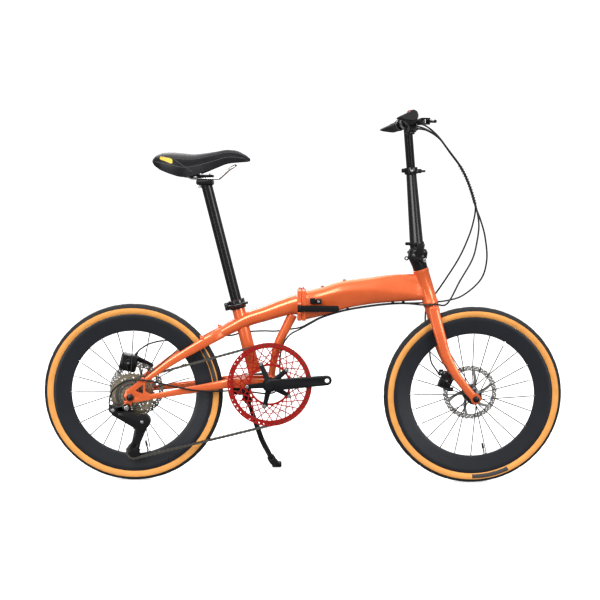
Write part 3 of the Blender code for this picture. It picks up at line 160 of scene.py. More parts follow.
COG = material("sprocket_steel", (0.56, 0.48, 0.35), 1.0, 0.3, 0.1, 500, 0.15)
RED = material("red_anodised", (0.38, 0.011, 0.007), 0.35, 0.28, 0.06, 700, 0.06, 0.15, gloss=0.35)
WINE = material("bell_red", (0.2, 0.01, 0.012), 0.3, 0.22, 0.08, 500, 0.05, 0.4)
TREAD = material("tread_rubber", (0.014, 0.015, 0.017), 0.0, 0.78, 0.12, 900, 0.35, gloss=0.3)
TAN = material("tan_sidewall", (0.7, 0.3, 0.068), 0.0, 0.66, 0.06, 520, 0.22, kind="weave",
               second=(0.74, 0.325, 0.08), gloss=0.3)
LABEL = material("sidewall_print", (0.03, 0.028, 0.028), 0.0, 0.6, 0.1, 600, 0.15)
RUBBER = material("grip_rubber", (0.008, 0.008, 0.009), 0.0, 0.66, 0.12, 800, 0.3, gloss=0.3)
PLASTIC = material("moulded_plastic", (0.008, 0.008, 0.009), 0.0, 0.4, 0.12, 1100, 0.08, gloss=0.35)
LEATHER = material("saddle_cover", (0.004, 0.004, 0.0055), 0.0, 0.42, 0.1, 620, 0.12,
                   kind="leather", sheen=0.01, gloss=0.16)
YELLOW = material("yellow_patch", (0.62, 0.4, 0.03), 0.0, 0.42, 0.08, 500, 0.1)
THREAD = material("thread", (0.035, 0.035, 0.037), 0.0, 0.75, 0.2, 900, 0.3, sheen=0.2)
HOSE = material("hose_jacket", (0.007, 0.007, 0.008), 0.0, 0.38, 0.1, 900, 0.12, gloss=0.3)


# ---- helpers: meshes
def spawn(name, data):
    obj = bpy.data.objects.new(name, data)
    bpy.context.scene.collection.objects.link(obj)
    return obj


def from_bm(bm):
    bmesh.ops.recalc_face_normals(bm, faces=bm.faces)
    mesh = bpy.data.meshes.new("mesh")
    bm.to_mesh(mesh)
    bm.free()
    return spawn("mesh", mesh)


def bake(obj):
    """The object with its modifiers and place written into its mesh."""
    bpy.context.view_layer.update()
    graph = bpy.context.evaluated_depsgraph_get()
    mesh = bpy.data.meshes.new_from_object(obj.evaluated_get(graph))
    mesh.transform(obj.matrix_world)
    bpy.data.objects.remove(obj, do_unlink=True)
    return spawn("baked", mesh)


def merge(*pieces):
    """Put several meshes into one object, materials kept."""
    bm = bmesh.new()
    mats = []
    for piece in pieces:
        start = len(bm.faces)
        bm.from_mesh(piece.data)
        bm.faces.ensure_lookup_table()
        own = list(piece.data.materials)
        for face in bm.faces[start:]:
            look = own[face.material_index] if own else None
            if look not in mats:
                mats.append(look)
            face.material_index = mats.index(look)
        bpy.data.objects.remove(piece, do_unlink=True)
    mesh = bpy.data.meshes.new("merged")
    bm.to_mesh(mesh)
    bm.free()
    for look in mats:
        mesh.materials.append(look)
    return spawn("merged", mesh)


def paint(obj, look):
    obj.data.materials.clear()
    obj.data.materials.append(look)
    return obj


def boolean(obj, others, operation):
    for other in others:
        mod = obj.modifiers.new(operation, "BOOLEAN")
        mod.operation, mod.solver, mod.object = operation, "EXACT", other
    obj = bake(obj)
    for other in others:
        bpy.data.objects.remove(other, do_unlink=True)
    return obj


def join(obj, *others):
    return boolean(obj, others, "UNION")


def cut(obj, *cutters):
    return boolean(obj, cutters, "DIFFERENCE")


def round_edges(obj, width, angle):
    mod = obj.modifiers.new("edge", "BEVEL")
    mod.width, mod.segments, mod.limit_method, mod.angle_limit = width, 2, "ANGLE", radians(angle)
    return bake(obj)


def weld(mesh, then):
    """Join a mesh's doubled points, and then do one more thing to it."""
    bm = bmesh.new()
    bm.from_mesh(mesh)
    bmesh.ops.remove_doubles(bm, verts=bm.verts, dist=0.00001)
    then(bm)
    bm.to_mesh(mesh)
    bm.free()


# ---- helpers: shapes
def aim(direction, origin=(0, 0, 0)):
    turn = AXIS_Z.rotation_difference(Vector(direction).normalized())
    return Matrix.Translation(origin) @ turn.to_matrix().to_4x4()


def cylinder(radius, start, end, sides=32, top=None, bevel=0.0):
    start, end = Vector(start), Vector(end)
    bm = bmesh.new()
    bmesh.ops.create_cone(bm, cap_ends=True, segments=sides, radius1=radius,
                          radius2=radius if top is None else top, depth=(end - start).length,
                          matrix=aim(end - start, (start + end) / 2))
    if bevel:
        rims = [e for e in bm.edges if len(e.link_faces) == 2
                and {len(f.verts) for f in e.link_faces} == {4, sides}]
        bmesh.ops.bevel(bm, geom=rims, offset=bevel, segments=2, affect="EDGES", profile=0.5)
    return from_bm(bm)


def across_y(radius, at, y0, y1, sides=32, **more):
    """A cylinder along Y at the (x, z) of a point."""
    return cylinder(radius, (at.x, y0, at.z), (at.x, y1, at.z), sides, **more)


def box(low, high, bevel=0.001, segments=2):
    low, high = Vector(low), Vector(high)
    bm = bmesh.new()
    bmesh.ops.create_cube(bm, size=1, matrix=Matrix.Translation((low + high) / 2)
                          @ Matrix.Diagonal((*(high - low), 1)))
    if bevel:
        bmesh.ops.bevel(bm, geom=bm.edges[:], offset=bevel, segments=segments, affect="EDGES",
                        profile=0.5)
    return from_bm(bm)


def revolve(profile, centre, steps, axis=AXIS_Y, move=None, look=None):
    """A ring from a closed loop of (radius, height) points, or a solid if it ends on the axis."""
    bm = bmesh.new()
    turn = aim(axis, centre)
    count = len(profile)
    spans = count if profile[0][0] and profile[-1][0] else count - 1
    rings = []
    for i in range(steps):
        a = TURN * i / steps
        ring = []
        for k, (r, h) in enumerate(profile):
            if i and not r:
                ring.append(rings[0][k])
                continue
            if move:
                r, h = move(i, k, r, h)
            ring.append(bm.verts.new(turn @ Vector((r * cos(a), r * sin(a), h))))
        rings.append(ring)
    for i, one in enumerate(rings):
        two = rings[(i + 1) % steps]
        for k in range(spans):
            j = (k + 1) % count
            face = bm.faces.new(list(dict.fromkeys((one[k], two[k], two[j], one[j]))))
            if look:
                face.material_index = look(i, k)
    return from_bm(bm)


def flat_piece(outlines, y0, y1):
    """A filled 2-D outline of (x, z) points with holes, between two Y values."""
    curve = bpy.data.curves.new("flat", "CURVE")
    curve.dimensions, curve.fill_mode, curve.extrude = "2D", "BOTH", abs(y1 - y0) / 2
    for outline in outlines:
        spline = curve.splines.new("POLY")
        spline.points.add(len(outline) - 1)
        for point, (x, z) in zip(spline.points, outline):
            point.co = (x, z, 0, 1)
        spline.use_cyclic_u = True
    obj = spawn("flat", curve)
    obj.matrix_world = Matrix.Translation((0, (y0 + y1) / 2, 0)) @ Matrix.Rotation(pi / 2, 4, "X")
    obj = bake(obj)
    weld(obj.data, lambda bm: bmesh.ops.recalc_face_normals(bm, faces=bm.faces))
    return obj


def loft(rings):
    """A capped skin over rings of equal count."""
    bm = bmesh.new()
    loops = [[bm.verts.new(p) for p in ring] for ring in rings]
    count = len(loops[0])
    for one, two in zip(loops, loops[1:]):
        for i in range(count):
            j = (i + 1) % count
            bm.faces.new((one[i], one[j], two[j], two[i]))
    bm.faces.new(loops[0][::-1])
    bm.faces.new(loops[-1])
    return from_bm(bm)


def headings(points):
    """Each point of a line, with the way it runs there."""
    last = len(points) - 1
    return [(p, points[min(i + 1, last)] - points[max(i - 1, 0)]) for i, p in enumerate(points)]


def tube(points, radius, sides):
    """A round tube along a line."""
    rings, side = [], None
    for p, ahead in headings([Vector(p) for p in points]):
        ahead.normalize()
        if side is None:
            side = ahead.orthogonal().normalized()
        side = (side - ahead * side.dot(ahead)).normalized()
        up = ahead.cross(side)
        rings.append([p + side * (radius * cos(TURN * k / sides)) + up * (radius * sin(TURN * k / sides))
                      for k in range(sides)])
    return loft(rings)


def catmull(a, b, c, d, t):
    """A smooth curve from b, where t is 0, to c, where it is 1."""
    return 0.5 * (2 * b + (c - a) * t + (2 * a - 5 * b + 4 * c - d) * t * t
                  + (3 * b - a - 3 * c + d) * t ** 3)


def smooth(points, step):
    """Points at most a step apart on a smooth curve through the given ones."""
    points = [Vector(p) for p in points]
    ends = [2 * points[0] - points[1], *points, 2 * points[-1] - points[-2]]
    out = []
    for a, b, c, d in zip(ends, ends[1:], ends[2:], ends[3:]):
        count = max(1, ceil((c - b).length / step))
        out += [catmull(a, b, c, d, i / count) for i in range(count)]
    return [*out, points[-1]]


def between(table, x):
    """The rest of a table's row at x, straight between its rows."""
    for a, b in zip(table, table[1:]):
        if x <= b[0] + 1e-9:
            t = (x - a[0]) / (b[0] - a[0])
            return [p + (q - p) * t for p, q in zip(a[1:], b[1:])]


def bell(x):
    return 2.718 ** -(x ** 2)


def signed(value, power):
    return copysign(abs(value) ** power, value)


def oval(power, count):
    angles = [TURN * (i + 0.5) / count for i in range(count)]
    return [(signed(cos(a), 2 / power), signed(sin(a), 2 / power)) for a in angles]


def sweep(stations, power, count, step=0.008, shape=None):
    """A smooth tube of changing section through stations of x, y, z, half height, half width."""
    fine = smooth([s[:3] for s in stations], step)
    marks = [0.0]
    for a, b in zip(stations, stations[1:]):
        marks.append(marks[-1] + (Vector(b[:3]) - Vector(a[:3])).length)
    rings, run = [], 0.0
    for i, (point, ahead) in enumerate(headings(fine)):
        if i:
            run += (point - fine[i - 1]).length
        at = min(run, marks[-1] - 1e-9)
        k = max(n for n in range(len(marks) - 1) if marks[n] <= at + 1e-9)
        t = (at - marks[k]) / (marks[k + 1] - marks[k])
        t = t * t * (3 - 2 * t) * 0.35 + t * 0.65
        high, wide = (p * (1 - t) + q * t for p, q in zip(stations[k][3:], stations[k + 1][3:]))
        up = AXIS_Y.cross(ahead).normalized()
        across = ahead.cross(up).normalized()
        ring = [point + across * (u * wide) + up * (v * high) for u, v in oval(power, count)]
        rings.append([shape(p) for p in ring] if shape else ring)
    return loft(rings)


def on_circle(centre, radius, angle, y=0.0):
    return Vector((centre.x + radius * cos(angle), y, centre.z + radius * sin(angle)))


def ring_outline(centre, radius, count):
    return [(centre.x + radius * cos(TURN * i / count), centre.z + radius * sin(TURN * i / count))
            for i in range(count)]


def capsule(start, end, r0, r1, count=12):
    """The outline of a bar with round ends, from (x, z) points."""
    start, end = Vector(start), Vector(end)
    lean = atan2(end.y - start.y, end.x - start.x)
    out = []
    for centre, radius, turn in ((end, r1, lean), (start, r0, lean + pi)):
        for i in range(count):
            a = turn - pi / 2 + pi * i / (count - 1)
            out.append((centre.x + radius * cos(a), centre.y + radius * sin(a)))
    return out


# ---- helpers: pieces
def piece(obj, name, look, slot, body=None, angle=35, bevel=0.0):
    """Name a piece, finish its shading, and attach it to its body, by default the body of a CAD node."""
    if look:
        paint(obj, look)
    if bevel:
        obj = round_edges(obj, bevel, 38)
    obj.name = obj.data.name = name
    obj.data.shade_smooth()
    obj.data.set_sharp_from_angle(angle=radians(angle))
    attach(obj, body or BODY[slot])
    return obj


def stand_in(obj, name, look, node, **finish):
    """A piece that takes the place of its CAD node."""
    obj = piece(obj, name, look, node, **finish)
    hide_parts(node)
    return obj


def bolt(name, centre, axis, radius, height, slot, look=STEEL):
    """A socket-head bolt."""
    axis, centre = Vector(axis).normalized(), Vector(centre)
    head = cylinder(radius, centre, centre + axis * height, 24, bevel=radius * 0.15)
    socket = cylinder(radius * 0.52, centre + axis * height * 0.45, centre + axis * height * 1.6, 6)
    piece(cut(head, socket), name, look, slot)


def skin(node, start, direction):
    """Where a line from outside the object first meets a CAD node."""
    direction = Vector(direction).normalized()
    mesh = NODES[node].data
    tree = BVHTree.FromPolygons([v.co for v in mesh.vertices], [p.vertices[:] for p in mesh.polygons])
    return tree.ray_cast(Vector(start) - direction * 0.3, direction)[0] or Vector(start)


# ---- wheels
TYRE_STEPS, TYRE_POINTS = 432, 27
TREAD_EDGE = radians(52)
LABEL_IN, LABEL_OUT = 0.2355, 0.2455
SPOKES, SPOKE_R = 24, 0.0015
DISC_R, DISC_HALF = 0.0797, 0.0009
ARMS, ARM_IN, ARM_OUT = 6, 0.0262, 0.0645
RIM_HALF = table("231.5 11.2, 229.9 11.8, 221.5 11.8, 219 11.3, 206 8.6, 194 6, 185 4.3, 181.8 3.2, "
    "181 1.2")
REAR_HUB = table("8.5 66, 13.8 64, 13.8 36, 24 34, 24 30, 15 27, 14 15, 14 -12, 15 -24, 24 -26, "
    "24 -30, 16 -32, 16 -62, 8.5 -66, 5.4 -66, 5.4 66")
FRONT_HUB = table("8.5 49.6, 13 48, 13 32, 23 30, 23 27, 12.5 24, 11.2 12, 11.2 -12, 12.5 -24, "
    "23 -27, 23 -30, 12.5 -32, 8.5 -49.6, 4.9 -49.6, 4.9 49.6")


def make_tyre(which, centre, label):
    """A tyre with a blocked tread, a tan woven wall and a dark patch on it, in degrees."""
    middle = TYRE_R - TYRE_HALF
    start = asin((middle - RIM_R - 0.0003) / TYRE_HALF)
    last = TYRE_POINTS - 1
    angles = [pi / 2 + start - (pi + 2 * start) * i / last for i in range(TYRE_POINTS)]
    profile = [(middle + TYRE_HALF * cos(a), TYRE_HALF * sin(a)) for a in angles]

    def move(i, k, r, h):
        a = angles[k]
        if abs(a) < TREAD_EDGE:
            slanted = (i + (k if a > 0 else -k) * 2) % 12
            if 0.16 < abs(a) < 0.8 and slanted < 3:
                r -= 0.0008 * cos(a)
                h -= 0.0008 * sin(a)
            elif abs(a) <= 0.12:
                r -= 0.0005
        elif TAN_R - 0.0007 < r < TAN_R + 0.0009:
            h += copysign(0.0003, h)
        return r, h

    def look(i, k):
        r = (profile[k][0] + profile[(k + 1) % TYRE_POINTS][0]) / 2
        if r > TAN_R or k == last:
            return 0
        printed = label[0] <= (-360.0 * i / TYRE_STEPS) % 360 <= label[1]
        return 2 if printed and LABEL_IN < r < LABEL_OUT else 1

    body = revolve(profile, centre, TYRE_STEPS, move=move, look=look)
    for layer in (TREAD, TAN, LABEL):
        body.data.materials.append(layer)
    stand_in(body, which + "_tyre_moulded", None, which + "_tyre", angle=50)


def make_rim(which, centre):
    """A deep rim with rounded shoulders, and its valve."""
    slot = which + "_rim"
    body = revolve(RIM_HALF + [(r, -h) for r, h in reversed(RIM_HALF)], centre, 216)
    stand_in(body, slot + "_deep", SATIN, slot)
    parts = []
    for radius, inset, reach, top, bevel, look in (
            (0.0026, -0.003, 0.026, None, 0.0, STEEL), (0.0044, 0.0003, 0.0035, None, 0.0006, STEEL),
            (0.0036, 0.018, 0.034, 0.0028, 0.0005, PLASTIC)):
        start, end = (on_circle(centre, RIM_IN - r, radians(-77)) for r in (inset, reach))
        parts.append(paint(cylinder(radius, start, end, 20, top, bevel), look))
    piece(merge(*parts), slot + "_valve", None, slot)


def make_hub(which, centre, profile, left, right):
    """The hub shell, its laced spokes and their nipples."""
    slot = which + "_hub"
    stand_in(revolve(profile, centre, 64), slot + "_shell", GLOSS, slot, bevel=0.0003)
    spokes, nipples = [], []
    for i in range(SPOKES):
        a = TURN * i / SPOKES
        way = 1 if (i // 2) % 2 else -1
        inner = on_circle(centre, 0.0185, a + radians(23) * way, (left if i % 2 else right) + 0.0007 * way)
        outer = on_circle(centre, RIM_IN + 0.002, a, (left if i % 2 else right) * 0.08)
        spokes.append(tube([inner.lerp(outer, t) for t in (0, 0.05, 0.5, 1)], SPOKE_R, 8))
        nipples.append(cylinder(0.0017, inner.lerp(outer, 0.925), inner.lerp(outer, 1.0), 8, 0.0021))
        reach = AXIS_Y * 0.0016 * way
        spokes.append(cylinder(0.0019, inner - reach, inner + reach, 10))
    piece(merge(*spokes), slot + "_spokes", PLASTIC, slot)
    piece(merge(*nipples), slot + "_nipples", STEEL, slot)


def make_rotor(which, centre, y, bore):
    """A brake disc: a scalloped, drilled band on swept arms, bolted to the hub."""
    slot = which + "_rotor"
    outer = []
    for i in range(288):
        t = TURN * i / 288
        outer.append(on_circle(centre, DISC_R - 0.0007 * cos(24 * t), t).xz)
    outlines = [outer, ring_outline(centre, bore, 48)]
    for i in range(ARMS):
        def swept(r, turn):
            return on_circle(centre, r, TURN * i / ARMS + 0.42 * (r - 0.0215) / 0.047 + turn).xz

        radii = [ARM_IN + (ARM_OUT - ARM_IN) * k / 8 for k in range(9)]
        gap = TURN / ARMS
        window = [swept(r, 0.0046 / r) for r in radii]
        window += [swept(0.0655, 0.07 + (gap - 0.14) * k / 10) for k in range(1, 10)]
        window += [swept(r, gap - 0.0046 / r) for r in reversed(radii)]
        outlines.append(window)
    for i in range(36):
        for r, shift in ((0.077, 0.0), (0.0735, 0.35), (0.07, 0.7)):
            outlines.append(ring_outline(on_circle(centre, r, TURN * (i + shift) / 36), 0.0014, 8))
    stand_in(flat_piece(outlines, y - DISC_HALF, y + DISC_HALF), slot + "_drilled", BRUSHED, slot)
    heads = [across_y(0.003, on_circle(centre, 0.021, TURN * i / ARMS + 0.2), y + DISC_HALF,
                      y + DISC_HALF + 0.0016, 20, bevel=0.0004) for i in range(ARMS)]
    piece(merge(*heads), slot + "_bolts", GLOSS, slot)


for which, centre, label in (("rear", REAR, (8, 35)), ("front", FRONT, (271, 297))):
    make_tyre(which, centre, label)
    make_rim(which, centre)
make_hub("rear", REAR, REAR_HUB, 0.032, -0.028)
make_hub("front", FRONT, FRONT_HUB, 0.0285, -0.0285)
make_rotor("rear", REAR, 0.052, 0.0146)
make_rotor("front", FRONT, 0.04, 0.0138)

# ---- main tubes: stations of x, y, z, half height, half width
BEAM = table("-7.8 0 519.5 41.5 28, 52 0 533 40.5 27, 116 0 553 40 26, 190 0 565 38.5 25.5, "
    "256 0 572.5 39.5 25, 315 0 576 39 24.5, 350 0 578.5 38 20")
CREASE = table("10 535, 43 548, 101 562, 153 567, 207 568, 281 558, 348 544, 370 538")
MAIN = table("-18.5 0 524 30 26.5, -50 0 517.5 25 26.2, -110 0 497 21.8 25.8, "
    "-160 0 480.5 20.8 25.5, -200 0 461 18.5 25.5, -236 0 441.5 16 25")
LEG = table("372 29 512 16 8.5, 380 33.5 479 16.5 8.5, 392 40 437 15.5 8, 408 46.5 386 14 7, "
    "436 53 332 12.5 5.8, 462 54.5 297 11.5 4.6, 495 54.5 258 11.5 4.4")
STAY = table("-236.5 15 441 15.5 8.5, -262 27 428 15 7.5, -300 34.5 407 14 6.5, -380 50 360 11 6, "
    "-435 63 321 8 5, -466 69 298 6 4")
STAY_BLOCK = table("-236.7 0 441.1 15.8 24.8, -250 0 433.9 15 26.2")
BRACE = table("-34 0 493 14 13.5, -52 0 456 13.5 13, -74 0 410 12.5 12.5, -87 0 360 11 12, "
    "-93.5 0 312 9.5 12")
LEAF_LOW, LEAF_HIGH, LEAF_HALF = 0.479, 0.567, 0.031


def creased(p):
    """Fold the front tube's sides along a styling line: they lean in above and below it."""
    first, last = CREASE[0][0], CREASE[-1][0]
    if not first <= p.x <= last:
        return p
    away = p.z - between(CREASE, p.x)[0]
    ease = min(1.0, (p.x - first) / 0.03, (last - p.x) / 0.03)
    lean = 1 - 0.36 * ease * min(1.0, abs(away) / 0.04)
    return Vector((p.x, p.y * lean - copysign(0.0009 * ease * bell(away / 0.0022), p.y), p.z))


def knuckle(low, high, side):
    body = cylinder(0.008, (HINGE_X, HINGE_Y, low), (HINGE_X, HINGE_Y, high), 40)
    near, far = sorted((HINGE_X + side * 0.0002, HINGE_X + side * 0.0078))
    return body, box((near, 0.027, low + 0.0004), (far, HINGE_Y - 0.005, high - 0.0004), 0)


def hinge_bore():
    return cylinder(0.0045, (HINGE_X, HINGE_Y, 0.46), (HINGE_X, HINGE_Y, 0.6), 32)


def steer(distance):
    return STEER + STEER_DIR * distance


def post(distance):
    return POST_TOP + POST_DIR * distance


def seat_tube_bore():
    return cylinder(POST_BORE, post(0.3), post(0.62), 64)


def both_sides(stations, power, count):
    """A swept tube and its mirror image on the other side."""
    other = [(x, -y, z, high, wide) for x, y, z, high, wide in stations]
    return sweep(stations, power, count, 0.01), sweep(other, power, count, 0.01)


leaf = box((HINGE_X + 0.0002, -LEAF_HALF, LEAF_LOW), (0.0045, LEAF_HALF, LEAF_HIGH), 0.003, 3)
beam = join(sweep(BEAM, 2.7, 72, shape=creased), leaf, *knuckle(LEAF_LOW, 0.5025, 1),
            *knuckle(0.5435, LEAF_HIGH, 1))
beam = cut(beam, hinge_bore(), cylinder(HEAD_R - 0.0002, steer(-0.03), steer(HEAD_LEN + 0.03), 64),
           box((-0.03, -0.05, 0.4), (HINGE_X + 0.0001, 0.0312, 0.6), 0))
stand_in(beam, "front_tube_formed", COPPER, "front_main_tube", angle=32)

leaf = box((-0.0205, -LEAF_HALF, LEAF_LOW), (HINGE_X - 0.0002, LEAF_HALF, LEAF_HIGH), 0.003, 3)
LATCH = Vector((-0.014, -0.04, 0.5155))
ears = [box((-0.02, -0.047, low), (HINGE_X - 0.001, -0.029, low + 0.0045), 0.0006)
        for low in (0.5005, 0.5262)]
rear_tube = join(sweep(MAIN, 2.4, 64), leaf, *knuckle(0.503, 0.543, -1), *ears,
                 cylinder(0.0022, LATCH - AXIS_Z * 0.014, LATCH + AXIS_Z * 0.014, 20))
rear_tube = cut(rear_tube, seat_tube_bore(), hinge_bore())
stand_in(rear_tube, "rear_tube_formed", COPPER, "rear_main_tube", angle=32)

COLLAR = HEAD_R + 0.0012
head = revolve([(HEAD_R, 0.0002), (COLLAR, 0.001), (COLLAR, 0.0085), (HEAD_R, 0.0105),
                (HEAD_R, HEAD_LEN - 0.0105), (COLLAR, HEAD_LEN - 0.0085), (COLLAR, HEAD_LEN - 0.001),
                (HEAD_R, HEAD_LEN - 0.0002), (0.015, HEAD_LEN - 0.0002), (0.015, 0.0002)],
               STEER, 72, STEER_DIR)
stand_in(head, "head_tube_turned", COPPER, "head_tube")

fork = join(cylinder(0.0205, steer(-0.026), steer(-0.004), 48),
            cylinder(HEAD_R, steer(-0.0045), steer(-0.0003), 48),
            cylinder(0.0142, steer(-0.01), steer(HEAD_LEN - 0.0005), 40),
            box((0.358, -0.035, 0.5), (0.388, 0.035, 0.523), 0.0055, 4), *both_sides(LEG, 2.3, 40),
            *[across_y(0.015, FRONT, side * 0.05, side * 0.059, 48) for side in (-1, 1)])
fork = cut(fork, across_y(0.0047, FRONT, -0.09, 0.09))
stand_in(fork, "fork_formed", COPPER, "fork", angle=32)

stays = join(sweep(STAY_BLOCK, 3.0, 40, 0.012), *both_sides(STAY, 2.5, 36))
stays = cut(stays, seat_tube_bore(), box((-0.5, -0.09, 0.25), (-0.4517, 0.09, 0.34), 0))
stand_in(stays, "seatstays_formed", COPPER, "seatstays", angle=32)
stand_in(sweep(BRACE, 2.2, 40), "brace_formed", COPPER, "brace_tube")


# ---- CAD nodes with refined edges
def refine(node, look, bevel):
    """A copy of a CAD node with welded, rounded edges and plain normals."""
    copy = spawn(node, NODES[node].data.copy())
    weld(copy.data, lambda bm: bmesh.ops.dissolve_limit(bm, angle_limit=radians(0.5), verts=bm.verts,
                                                        edges=bm.edges))
    copy.data.normals_split_custom_set_from_vertices([(0, 0, 0)] * len(copy.data.vertices))
    stand_in(round_edges(copy, bevel, 32), node + "_refined", look, node, angle=32)


LOOKS = (
    (COPPER, "seat_tube bottom_bracket_shell chainstays"),
    (GLOSS, "front_axle rear_axle seat_clamp seat_clamp_lever handlepost_latch_lever"
            " telescope_lever handlepost_upper brake_body_left brake_body_right rear_derailleur"
            " rear_brake_caliper front_brake_caliper"),
    (BLACK, "hinge_catch frame_latch_lever handlepost_base handlepost_lower telescope_clamp"
            " handlebar brake_lever_left brake_lever_right crank_right crank_left"
            " derailleur_cage kickstand_mount kickstand"),
    (PLASTIC, "shifter_body shifter_lever guide_pulley tension_pulley"),
    (STEEL, "frame_hinge_pin saddle_rails"), (WINE, "bell"))
EDGES = {"seat_tube": 0.0003, "crank_right": 0.001, "crank_left": 0.001, "chainstays": 0.0006,
         "handlepost_lower": 0.0006, "handlepost_base": 0.0006, "kickstand": 0.0006}
for look, names in LOOKS:
    for name in names.split():
        refine(name, look, EDGES.get(name, 0.0004))

# ---- drivetrain
TOOTH = ((0, -1, 0), (0.14, -0.86, 0), (0.3, -0.15, 0), (0.42, 0, 1), (0.58, 0, 1), (0.7, -0.15, 0),
         (0.86, -0.86, 0))
GUARD_Y0, GUARD_Y1 = -0.0486, -0.05     # the guard, clear of the chain behind it
GUARD_IN, GUARD_OUT, WEB_IN = 0.1085, 0.1215, 0.056
SPROCKETS = ((32, -0.035), (26, -0.04), (21, -0.045), (17, -0.05), (14, -0.055), (11, -0.06))
CARRIER_R, BORE_R = 0.0195, 0.0166


def teeth_outline(centre, teeth, radius, depth=0.003, tip=0.002):
    """A sprocket's outline: rounded valleys between blunt teeth."""
    return [on_circle(centre, radius + (tip if peak else depth * down), TURN * (i + share) / teeth).xz
            for i in range(teeth) for share, down, peak in TOOTH]


def strut(a0, a1, r0, r1, half, y0, y1):
    """A straight bar across the web between two angles and radii."""
    start, end = on_circle(BB, r0, a0), on_circle(BB, r1, a1)
    across = (end - start).cross(AXIS_Y).normalized() * half
    corners = [start + across, end + across, end - across, start - across]
    return flat_piece([[c.xz for c in corners]], y1, y0)


def chainring():
    toothed = flat_piece([teeth_outline(BB, RING_TEETH, RING_R), ring_outline(BB, 0.106, 144)],
                         CHAIN_Y - 0.0012, CHAIN_Y + 0.0012)
    holes = [ring_outline(on_circle(BB, (GUARD_IN + GUARD_OUT) / 2, TURN * i / 48), 0.003, 12)
             for i in range(48)]
    parts = [toothed]
    for outer, inner, extra in ((ring_outline(BB, GUARD_OUT, 180), ring_outline(BB, GUARD_IN, 144), 0),
                                (ring_outline(BB, WEB_IN + 0.0045, 96),
                                 ring_outline(BB, WEB_IN - 0.0015, 96), 0),
                                (ring_outline(BB, 0.085, 96), ring_outline(BB, 0.0828, 96), 0.0002)):
        parts.append(flat_piece([outer, inner, *holes], GUARD_Y1 + extra, GUARD_Y0 - extra))
        holes = []
    for i in range(24):
        a = TURN * i / 24
        for way, shave in ((1, 0.0), (-1, 0.0001)):
            parts.append(strut(a, a + way * radians(36), WEB_IN + 0.002, GUARD_IN + 0.002, 0.0015,
                               GUARD_Y0 - 0.0001 - shave, GUARD_Y1 + 0.0001 + shave))
    for i in range(10):
        at = on_circle(BB, 0.1095, TURN * (i + 0.5) / 10)
        parts.append(across_y(0.0026, at, GUARD_Y1 - 0.0006, CHAIN_Y + 0.001, 20, bevel=0.0003))
    return merge(*[paint(p, RED) for p in parts])


stand_in(chainring(), "chainring_lattice", None, "chainring")
heads = []
for i in range(5):
    at = on_circle(BB, 0.065, radians(41.5 + 72 * i), -0.0534)
    head = cut(cylinder(0.0048, at, at - AXIS_Y * 0.0018, 32, bevel=0.0004),
               cylinder(0.0024, at - AXIS_Y * 0.0008, at - AXIS_Y * 0.004, 6))
    heads.append(paint(head, STEEL))
piece(merge(*heads), "chainring_bolts", None, "chainring")
cap = revolve(table("0 -0.2, 8.8 -0.2, 9.6 -1.2, 9.6 -3, 0 -3"), Vector((BB.x, -0.0672, BB.z)), 48)
piece(cap, "crank_cap_right", GLOSS, "crank_right")
LINER = table("7.1 0, 6 0, 5.7 0.6, 6 1.2, 5.7 1.8, 6 2.4, 6 5.2, 7.1 5.2")
for name, y, angle in (("right", -0.0664, CRANK_TILT), ("left", 0.064, CRANK_TILT + pi)):
    liner = revolve(LINER, on_circle(BB, CRANK_LENGTH, angle, y), 40)
    piece(liner, "pedal_thread_" + name, STEEL, "crank_" + name)

parts = []
for teeth, y in SPROCKETS:
    radius = PITCH * teeth / TURN
    outlines = [teeth_outline(REAR, teeth, radius - 0.0008, 0.0026, 0.0018),
                ring_outline(REAR, BORE_R, 48)]
    if radius > 0.036:
        count = 8 if radius < 0.06 else 12
        outlines += [ring_outline(on_circle(REAR, (radius + CARRIER_R) / 2, TURN * i / count),
                                  (radius - CARRIER_R) * 0.22, 16) for i in range(count)]
    # Alternate sprockets are dark and light steel, each with a ring of the other steel at its teeth roots:
    # painted shade and light that part the sprockets and stand in for the depth between them.
    plate, edge = (CHAIN, COG) if teeth % 2 else (COG, CHAIN)
    parts.append(paint(flat_piece(outlines, y - 0.0008, y + 0.0008), plate))
    band = [ring_outline(REAR, radius - inset, 96) for inset in (0.0052, 0.0066)]
    parts.append(paint(flat_piece(band, y - 0.0011, y + 0.0011), edge))
parts.append(paint(revolve([(CARRIER_R, 0.027), (CARRIER_R, 0.0), (BORE_R, 0.0), (BORE_R, 0.027)],
                           Vector((REAR.x, -0.0608, REAR.z)), 64), GLOSS))
stand_in(merge(*parts), "cassette_sprockets", None, "cassette")


def chain_loop():
    """The chain's closed centreline, as a dense list of (x, z) points."""
    wheels = [(BB.xz, RING_R, 1), (REAR.xz, COG_R, 1), (GUIDE.xz, PULLEY_R, -1),
              (TENSION.xz, PULLEY_R, 1)]
    touch = []
    for one, two in zip(wheels, wheels[1:] + wheels[:1]):
        span = two[0] - one[0]
        lean = atan2(span.y, span.x) - asin((two[1] * two[2] - one[1] * one[2]) / span.length)
        left = Vector((-sin(lean), cos(lean)))
        touch.append((one[0] - left * (one[1] * one[2]), two[0] - left * (two[1] * two[2])))
    points = []
    for i, (centre, radius, way) in enumerate(wheels):
        enter, leave = touch[i - 1][1] - centre, touch[i][0] - centre
        a, b = atan2(enter.y, enter.x), atan2(leave.y, leave.x)
        turn = (b - a) * way % TURN * way
        count = max(8, ceil(abs(turn) * radius / 0.002))
        points += [centre + Vector((cos(a + turn * k / count), sin(a + turn * k / count))) * radius
                   for k in range(count)]
        points += [touch[i][0].lerp(touch[i][1], k / 60) for k in range(60)]
    return points


